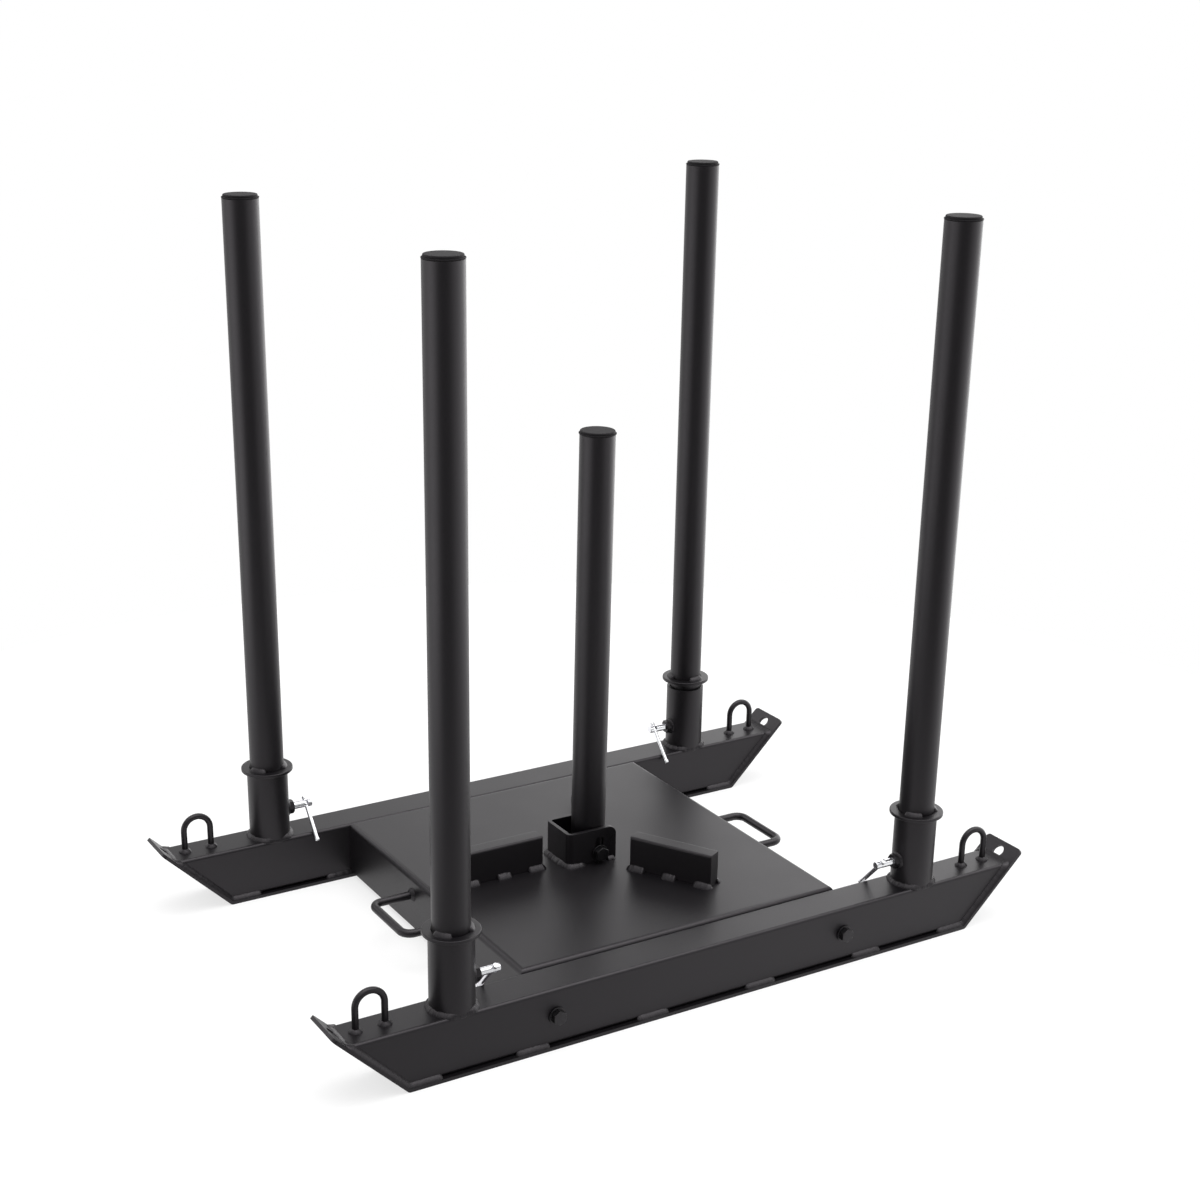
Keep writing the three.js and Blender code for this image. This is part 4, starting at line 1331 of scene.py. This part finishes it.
@dataclass
class RodLoops:
    """The four tie loops on the runners and the two pull handles on the tray."""

    spacing: float = RUNNER_SPACING
    runner_top: float = RUNNER_TOP
    loop_spread: float = 974.0
    loop_rod: float = 9.0
    loop_span: float = 40.5
    loop_height: float = 56.5
    tray_end: float = 256.3
    handle_rod: float = 12.0
    handle_span: float = 108.0
    handle_reach: float = 64.0
    handle_height: float = 59.5
    handle_bend: float = 15.0
    loop_bead: float = 5.2
    handle_bead: float = 4.8
    handle_sides: int = 24

    def loop_path(self, corner: Corner) -> Path:
        """Draws a loop: two legs joined by a half circle."""
        bend = self.loop_span / 2
        straight = self.loop_height - self.loop_rod / 2 - bend
        foot = corner.place(self.spacing, self.loop_spread, self.runner_top + FIT_GAP)
        crown = arc(0, straight, bend, 180, 0, 28)
        line = [(-bend, 0.0), (-bend, straight * 0.5), *crown, (bend, straight * 0.5), (bend, 0.0)]
        return Path([foot + Vector((0, u, v)) for u, v in line], self.loop_rod / 2)

    def handle_path(self, end: End) -> Path:
        """Draws a handle: a flat U in a level plane."""
        half, bend, leg = self.handle_span / 2, self.handle_bend, self.handle_reach - self.handle_bend
        line = [(-half, 0.0), (-half, 0.5 * leg), *arc(-half + bend, leg, bend, 180, 90, 12),
                *arc(half - bend, leg, bend, 90, 0, 12), (half, 0.5 * leg), (half, 0.0)]
        sign = end.value
        return Path([Vector((u, sign * (self.tray_end + v), self.handle_height)) for u, v in line],
                    self.handle_rod / 2)

    def welds(self) -> list[Path]:
        """Draws the beads round every leg."""
        paths = []
        for end in End:
            for side in Side:
                for leg in (-1, 1):
                    centre = Corner(end, side).place(self.spacing, self.loop_spread, self.runner_top,
                                                     leg * self.loop_span / 2)
                    paths.append(circle_path(centre, X_AXIS, Y_AXIS, self.loop_rod / 2, self.loop_bead))
            across, up = (X_AXIS, Z_AXIS) if end is End.FRONT else (Z_AXIS, X_AXIS)
            face = end.value * (self.tray_end - FIT_GAP)
            for leg in (-1, 1):
                centre = (leg * self.handle_span / 2, face, self.handle_height)
                paths.append(circle_path(centre, across, up, self.handle_rod / 2, self.handle_bead))
        return paths

    def build(self, shop: Workshop, rods: RodTree) -> None:
        """Makes the loops and the handles."""
        coat = shop.material(POWDER_COAT)
        for end in End:
            for side in Side:
                corner = Corner(end, side)
                mesh = rods.run([self.loop_path(corner)], coat)
                shop.piece(f"rod_loop_{corner.label}", mesh, POWDER_COAT, ROOT,
                           [f"tie_loop_{corner.label}"], angle=LOOP_ANGLE)
            mesh = rods.run([self.handle_path(end)], coat, Sides=self.handle_sides)
            shop.piece(f"rod_handle_{end.label}", mesh, POWDER_COAT, ROOT, [f"pull_handle_{end.label}"],
                       angle=LOOP_ANGLE)


@dataclass
class PlateStops:
    """The three raised boxes that weight plates rest on."""

    centre: float = 3.0
    radius: float = 79.5
    length: float = 130.0
    width: float = 25.0
    height: float = 50.0
    wall: float = 3.0
    corner: float = 2.0
    top_edge: float = 3.5
    end_edge: float = 1.0
    tray_top: float = TRAY_TOP
    stitch: float = 24.0
    bead: float = 8.0
    angles: dict[str, float] = field(default_factory=lambda: {
        "front": -90.0, "rear_right": 30.0, "rear_left": 150.0})

    def _turn(self, angle: float) -> Matrix:
        """Gives the turn from a stop drawn along +X to its place on the tray."""
        turn = math.radians(angle)
        place = (self.radius * math.cos(turn), self.centre + self.radius * math.sin(turn),
                 self.tray_top + FIT_GAP)
        return Matrix.Translation(place) @ Matrix.Rotation(turn, 4, "Z")

    def form(self) -> Form:
        """Makes a stop along +X: a hollow box with eased edges, open underneath."""
        half = self.width / 2
        plan = Form.prism(rounded_box(0, -half, self.length, half, self.corner), 0, self.height)
        eased = Form.prism(rounded_box(-half, 0, half, self.height, self.top_edge, lower=False),
                           -2 * self.length, 2 * self.length, SIDE_VIEW)
        wall, inner = self.wall, half - self.wall
        hollow = Form.prism([(wall, -inner), (self.length - wall, -inner), (self.length - wall, inner),
                             (wall, inner)], -6, self.height - wall).turned_out()
        ends = Form.prism(rounded_box(0, 0, self.length, self.height, self.end_edge, lower=False),
                          -2 * half, 2 * half, END_VIEW)
        return plan.kept(eased).kept(ends).cut(hollow)

    def welds(self) -> list[Path]:
        """Draws three stitches on each long side of each stop. The outer ones end beyond its corners."""
        paths = []
        half, middle, foot = self.width / 2, self.length / 2, -FIT_GAP
        for angle in self.angles.values():
            turn = self._turn(angle)
            for sign in (-1, 1):
                flank = (0, sign, 1)
                rows = [((middle + k * self.stitch / 2, sign * half, foot), flank, 1.0) for k in (-1, 1)]
                paths.append(self._stitch(turn, rows))
                for tip, way in ((0.0, -1), (self.length, 1)):
                    rows = [((tip - way * (self.stitch + 2), sign * half, foot), flank, 1.0),
                            ((tip - way * 2, sign * half, foot), flank, 1.0),
                            ((tip + way * 0.4, sign * (half - 0.6), foot), (way, sign, 1.4), 0.8),
                            ((tip + way * 3.2, sign * (half - 3.4), foot), (way, 0.6 * sign, 1), 0.25)]
                    paths.append(self._stitch(turn, rows))
        return paths

    def _stitch(self, turn: Matrix, rows: Sequence[tuple]) -> Path:
        """Turns one stitch, drawn beside the stop that lies along +X, to its place."""
        spin = turn.to_3x3()
        return Path([turn @ Vector(spot) for spot, _, _ in rows], self.bead,
                    facing=[spin @ Vector(way) for _, way, _ in rows], shares=[share for _, _, share in rows])

    def build(self, shop: Workshop) -> None:
        """Makes the three stops."""
        form = self.form()
        for label, angle in self.angles.items():
            shop.piece(f"seat_block_{label}", form.placed(self._turn(angle)), POWDER_COAT, ROOT,
                       [f"plate_stop_{label}"])


@dataclass
class CentrePost:
    """The folding post for weight plates, its bracket and its pivot bolt."""

    centre: float = 6.0
    tray_top: float = TRAY_TOP
    pivot: float = 15.0
    travel: float = 18.0
    diameter: float = 50.0
    wall: float = 3.0
    length: float = 630.0
    lean: float = math.radians(0.55)
    hole: float = 13.0
    plate: float = 6.0
    side_play: float = 2.5
    bracket_length: float = 81.0
    bracket_height: float = 52.0
    bracket_back: float = 52.5
    bend: float = 3.0
    ear: float = 13.0
    edge: float = 0.8
    post_edge: float = 0.5
    bead: float = 6.5
    wall_bead_share: float = 0.85
    bolts: BoltSet = field(default_factory=lambda: BoltSet(12, 19, 7.5, 24, 2.5, 10, 4, 33.5, 33.5))

    @property
    def width(self) -> float:
        """The bracket's outer width."""
        return self.diameter + 2 * (self.side_play + self.plate)

    def _outline(self, inset: float) -> list[Point]:
        """Outlines the bracket in plan, closed towards -Y."""
        half = self.width / 2 - inset
        back = -self.bracket_back + inset
        front = self.bracket_length - self.bracket_back + (6 if inset else 0)
        radius = self.bend + self.plate - inset
        return [(half, front), (-half, front), *arc(-half + radius, back + radius, radius, 180, 270),
                *arc(half - radius, back + radius, radius, 270, 360)]

    def bracket_form(self) -> Form:
        """Makes the bracket with its slots and round ears."""
        top = self.bracket_height
        blank = Form.prism(self._outline(0), 0, top).cut(Form.prism(self._outline(self.plate), -6, top + 6))
        half = self.hole / 2
        low = self.pivot - FIT_GAP - half
        slot = Form.prism(rounded_box(-half, low, half, low + self.hole + self.travel, half), -CUT_REACH,
                          CUT_REACH, SIDE_VIEW)
        front = self.bracket_length - self.bracket_back
        ear = [(front + 4, top + 4), (front - self.ear, top + 4),
               *arc(front - self.ear, top - self.ear, self.ear, 90, 0), (front + 4, top - self.ear)]
        corner = Form.prism(ear, -CUT_REACH, CUT_REACH, SIDE_VIEW).turned_out()
        bracket = blank.cut(slot, corner).eased(self.edge, 2, 40)
        return bracket.moved(y=self.centre, z=self.tray_top + FIT_GAP)

    def post_form(self) -> Form:
        """Makes the post, with its foot cut back on the open side, leaning on its pivot."""
        foot = FIT_GAP - self.pivot
        reach = self.diameter / 2 + 6
        wedge = Form.prism([(0, foot), (0, foot - 6), (reach, foot - 6), (reach, foot + reach)],
                           -reach, reach, SIDE_VIEW).turned_out()
        drill = rod(self.hole, -reach, reach).placed(ALONG_X)
        post = tube(self.diameter, self.diameter - 2 * self.wall, foot, foot + self.length, self.post_edge)
        return post.cut(wedge, drill).placed(*self._post_place())

    def _post_place(self) -> list[Matrix]:
        """Gives the post's lean and its pivot's place."""
        return [Matrix.Rotation(-self.lean, 4, "X"),
                Matrix.Translation((0, self.centre, self.tray_top + self.pivot))]

    def welds(self) -> list[Path]:
        """Draws the beads at the bracket's base."""
        half, back = self.width / 2, self.centre - self.bracket_back
        radius = self.bend + self.plate
        front = back + self.bracket_length - 3
        bolt = self.centre + 13
        round_back = [(-half, back + 30), *arc(-half + radius, back + radius, radius, 180, 270, 6),
                      *arc(half - radius, back + radius, radius, 270, 360, 6), (half, back + 30)]
        wall_bead = self.bead * self.wall_bead_share
        lines = [(round_back, self.bead), ([(half, bolt), (half, front)], wall_bead),
                 ([(-half, front), (-half, bolt)], wall_bead)]
        return [foot_path(points, self.tray_top, bead) for points, bead in lines]

    def build(self, shop: Workshop, plug: TubePlug, threads: ThreadTree) -> None:
        """Makes the bracket, the post with its plug and the pivot's three pieces."""
        shop.piece("post_bracket", self.bracket_form(), POWDER_COAT, ROOT, ["pivot_bracket"])
        shop.piece("plate_post", self.post_form(), POWDER_COAT, "folding_post", ["centre_post"])
        top = plug.form().moved(z=FIT_GAP - self.pivot + self.length + FIT_GAP).placed(*self._post_place())
        shop.piece("plate_post_plug", top, MOULDED_PLASTIC, "folding_post", ["centre_post_cap"])
        place = self._post_place()[1]
        for word, form in self.bolts.forms(threads, shop.material(BLACK_OXIDE)).items():
            shop.piece(f"hinge_{word}", form.placed(place), BLACK_OXIDE, "pivot_pin", [f"pivot_{word}"])


# Studio


@dataclass(frozen=True)
class Glow:
    """A soft bright or dark area of the studio, seen in a direction from the sled.

    The azimuth is counted from the camera's side, towards the right of the picture. The inner and
    outer angles tell where the area is full and where it has faded. The gain is added to the light.
    """

    azimuth: float
    elevation: float
    inner: float
    outer: float
    gain: float


@dataclass
class Studio:
    """The floor, the light and the camera."""

    azimuth: float = 59.15
    elevation: float = 21.14
    roll: float = 0.72
    distance: float = 2.8681
    target: tuple[float, float, float] = (-0.00931, -0.01555, 0.31826)
    lens: float = 59.9535
    shift: tuple[float, float] = (0.0221, 0.0901)
    floor_radius: float = 1.6
    floor_light_share: float = 0.72
    floor_light: float = 0.98
    # Painted shade on the floor as seen in reflections: where its glow fades on the camera's side, in metres,
    # and the level it fades to.
    front_fade: tuple[float, float] = (0.1, 0.9)
    painted_front_shade: float = 0.252
    backdrop: float = 1.0
    glows: tuple[Glow, ...] = (
        Glow(0.0, 20.0, 25.0, 95.0, -0.74),
        Glow(-62.0, -14.0, 6.0, 36.0, 1.5),
        Glow(68.0, -14.0, 6.0, 36.0, 0.6),
        Glow(118.0, -16.0, 8.0, 38.0, 1.3),
        Glow(180.0, 54.0, 12.0, 36.0, -0.8),
        Glow(152.0, 9.0, 4.0, 42.0, 1.9),
        Glow(180.0, 84.0, 8.0, 30.0, 3.0),
        Glow(0.0, 60.0, 15.0, 45.0, 1.2),
        Glow(96.0, 56.0, 8.0, 30.0, 2.4),
        Glow(-125.0, 36.0, 8.0, 26.0, 0.8),
    )

    def _direction(self, azimuth: float, elevation: float) -> tuple[float, float, float]:
        """Gives the direction of an azimuth from the camera's side and an elevation, in degrees."""
        around = math.radians(self.azimuth - 90 + azimuth)
        above = math.radians(elevation)
        return (math.cos(around) * math.cos(above), math.sin(around) * math.cos(above), math.sin(above))

    def camera(self) -> None:
        """Sets the camera where the photograph was taken from."""
        around, above, roll = (math.radians(a) for a in (self.azimuth, self.elevation, self.roll))
        back = Vector((math.sin(around) * math.cos(above), -math.cos(around) * math.cos(above),
                       math.sin(above)))
        right = Vector((math.cos(around), math.sin(around), 0))
        up = back.cross(right)
        tilted = right * math.cos(roll) + up * math.sin(roll)
        upright = -right * math.sin(roll) + up * math.cos(roll)
        data = bpy.data.cameras.new("camera")
        data.sensor_width = 36.0
        data.lens = self.lens
        data.shift_x, data.shift_y = self.shift
        data.clip_end = 50.0
        camera = added("camera", data)
        camera.matrix_world = basis(tilted, upright, back, Vector(self.target) + back * self.distance)
        bpy.context.scene.camera = camera

    @staticmethod
    def _seen(graph: Graph, names: Sequence[str]) -> Value:
        """Gives 1 for rays of any of the named kinds."""
        rays = graph.node("ShaderNodeLightPath")
        first, *others = (Value(graph, rays.outputs[name]) for name in names)
        for other in others:
            first = graph.value("ShaderNodeMath", {"operation": "MAXIMUM"}, {0: first, 1: other})
        return first

    def floor(self) -> None:
        """Lays the white floor, which keeps a part of the sled's shadow."""
        radius = self.floor_radius
        turns = [2 * math.pi * i / TUBE_SIDES for i in range(TUBE_SIDES)]
        mesh = bpy.data.meshes.new("studio_floor")
        mesh.from_pydata([(radius * math.cos(a), radius * math.sin(a), 0) for a in turns], [],
                         [tuple(range(TUBE_SIDES))])
        floor = added("studio_floor", mesh)
        material = bpy.data.materials.new("studio_floor")
        graph = emptied(material)
        seen = self._seen(graph, ("Is Camera Ray", "Is Glossy Ray", "Is Transmission Ray"))
        paint = graph.node("ShaderNodeBsdfDiffuse", None, {"Color": (0.96, 0.96, 0.96, 1)})
        place = graph.value("ShaderNodeNewGeometry", output="Position")
        # Painted shade on the floor: in reflections its glow fades towards the camera's side, as though less
        # light fell there. Camera rays see it evenly bright.
        front = graph.value("ShaderNodeVectorMath", {"operation": "DOT_PRODUCT"}, {
            0: place, 1: self._direction(0.0, 0.0)}, "Value")
        near, far = self.front_fade
        shade = graph.value("ShaderNodeMapRange", {"interpolation_type": "SMOOTHSTEP"}, {
            "Value": front, "From Min": near, "From Max": far, "To Min": 1.0, "To Max": self.painted_front_shade})
        camera = self._seen(graph, ("Is Camera Ray",))
        glow = graph.node("ShaderNodeEmission", None, {
            "Color": (1, 1, 1, 1), "Strength": (camera * (1.0 - shade) + shade) * self.floor_light})
        mixed = graph.node("ShaderNodeMixShader", None, {
            0: seen * self.floor_light_share, 1: paint.outputs[0], 2: glow.outputs[0]})
        graph.node("ShaderNodeOutputMaterial", None, {"Surface": mixed.outputs[0]})
        mesh.materials.append(material)

    def world(self) -> None:
        """Surrounds the sled with white light that is darker on the camera's side."""
        world = bpy.data.worlds.new("studio")
        graph = emptied(world)
        incoming = graph.value("ShaderNodeNewGeometry", output="Incoming")
        level: Value | float = self.backdrop
        for glow in self.glows:
            way = self._direction(glow.azimuth, glow.elevation)
            facing = graph.value("ShaderNodeVectorMath", {"operation": "DOT_PRODUCT"}, {
                0: incoming, 1: tuple(-c for c in way)}, "Value")
            fade = graph.value("ShaderNodeMapRange", {"interpolation_type": "SMOOTHSTEP"}, {
                "Value": facing, "From Min": math.cos(math.radians(glow.outer)),
                "From Max": math.cos(math.radians(glow.inner)), "To Min": 0.0, "To Max": glow.gain})
            level = fade + level
        seen = self._seen(graph, ("Is Camera Ray", "Is Transmission Ray"))
        strength = seen * (1.0 - level) + level
        light = graph.node("ShaderNodeBackground", None, {"Color": (1, 1, 1, 1), "Strength": strength})
        graph.node("ShaderNodeOutputWorld", None, {"Surface": light.outputs[0]})
        bpy.context.scene.world = world

    def build(self) -> None:
        """Builds the studio."""
        self.camera()
        self.floor()
        self.world()
        bpy.context.scene.view_settings.view_transform = "Standard"


def main() -> None:
    """Builds the studio and the sled."""
    logging.basicConfig(level=logging.INFO, format="%(message)s")
    Studio().build()
    shop = Workshop()
    beads, rods, threads = BeadTree(), RodTree(), ThreadTree()
    plug = TubePlug(overhang=0.4, head=47.0)
    long_beads, foot_beads = [], []
    for side in Side:
        runner = Runner(side)
        runner.build(shop)
        long_beads += runner.welds()
    WeightTray().build(shop)
    SideBolts().build(shop, threads)
    for corner, angle in zip(CORNERS, STITCH_TURNS):
        station = PoleStation(corner, angle)
        station.build(shop, plug, beads)
        Clamp(corner).build(shop, threads)
        foot_beads += [station.sleeve_bead(), station.nut_bead()]
    loops = RodLoops()
    loops.build(shop, rods)
    foot_beads += loops.welds()
    stops = PlateStops()
    stops.build(shop)
    long_beads += stops.welds()
    post = CentrePost()
    post.build(shop, TubePlug(overhang=1.2, head=49.0), threads)
    foot_beads += post.welds()
    mesh = beads.run(long_beads, shop.material(WELD_COAT_PAINTED_HIGHLIGHT))
    shop.piece("frame_welds", mesh, WELD_COAT_PAINTED_HIGHLIGHT, ROOT, angle=WELD_ANGLE)
    mesh = beads.run(foot_beads, shop.material(WELD_COAT_PAINTED_HIGHLIGHT), Waver=0.34, Ripple=0.08)
    shop.piece("foot_welds", mesh, WELD_COAT_PAINTED_HIGHLIGHT, ROOT, angle=WELD_ANGLE)


if __name__ == "__main__":
    main()
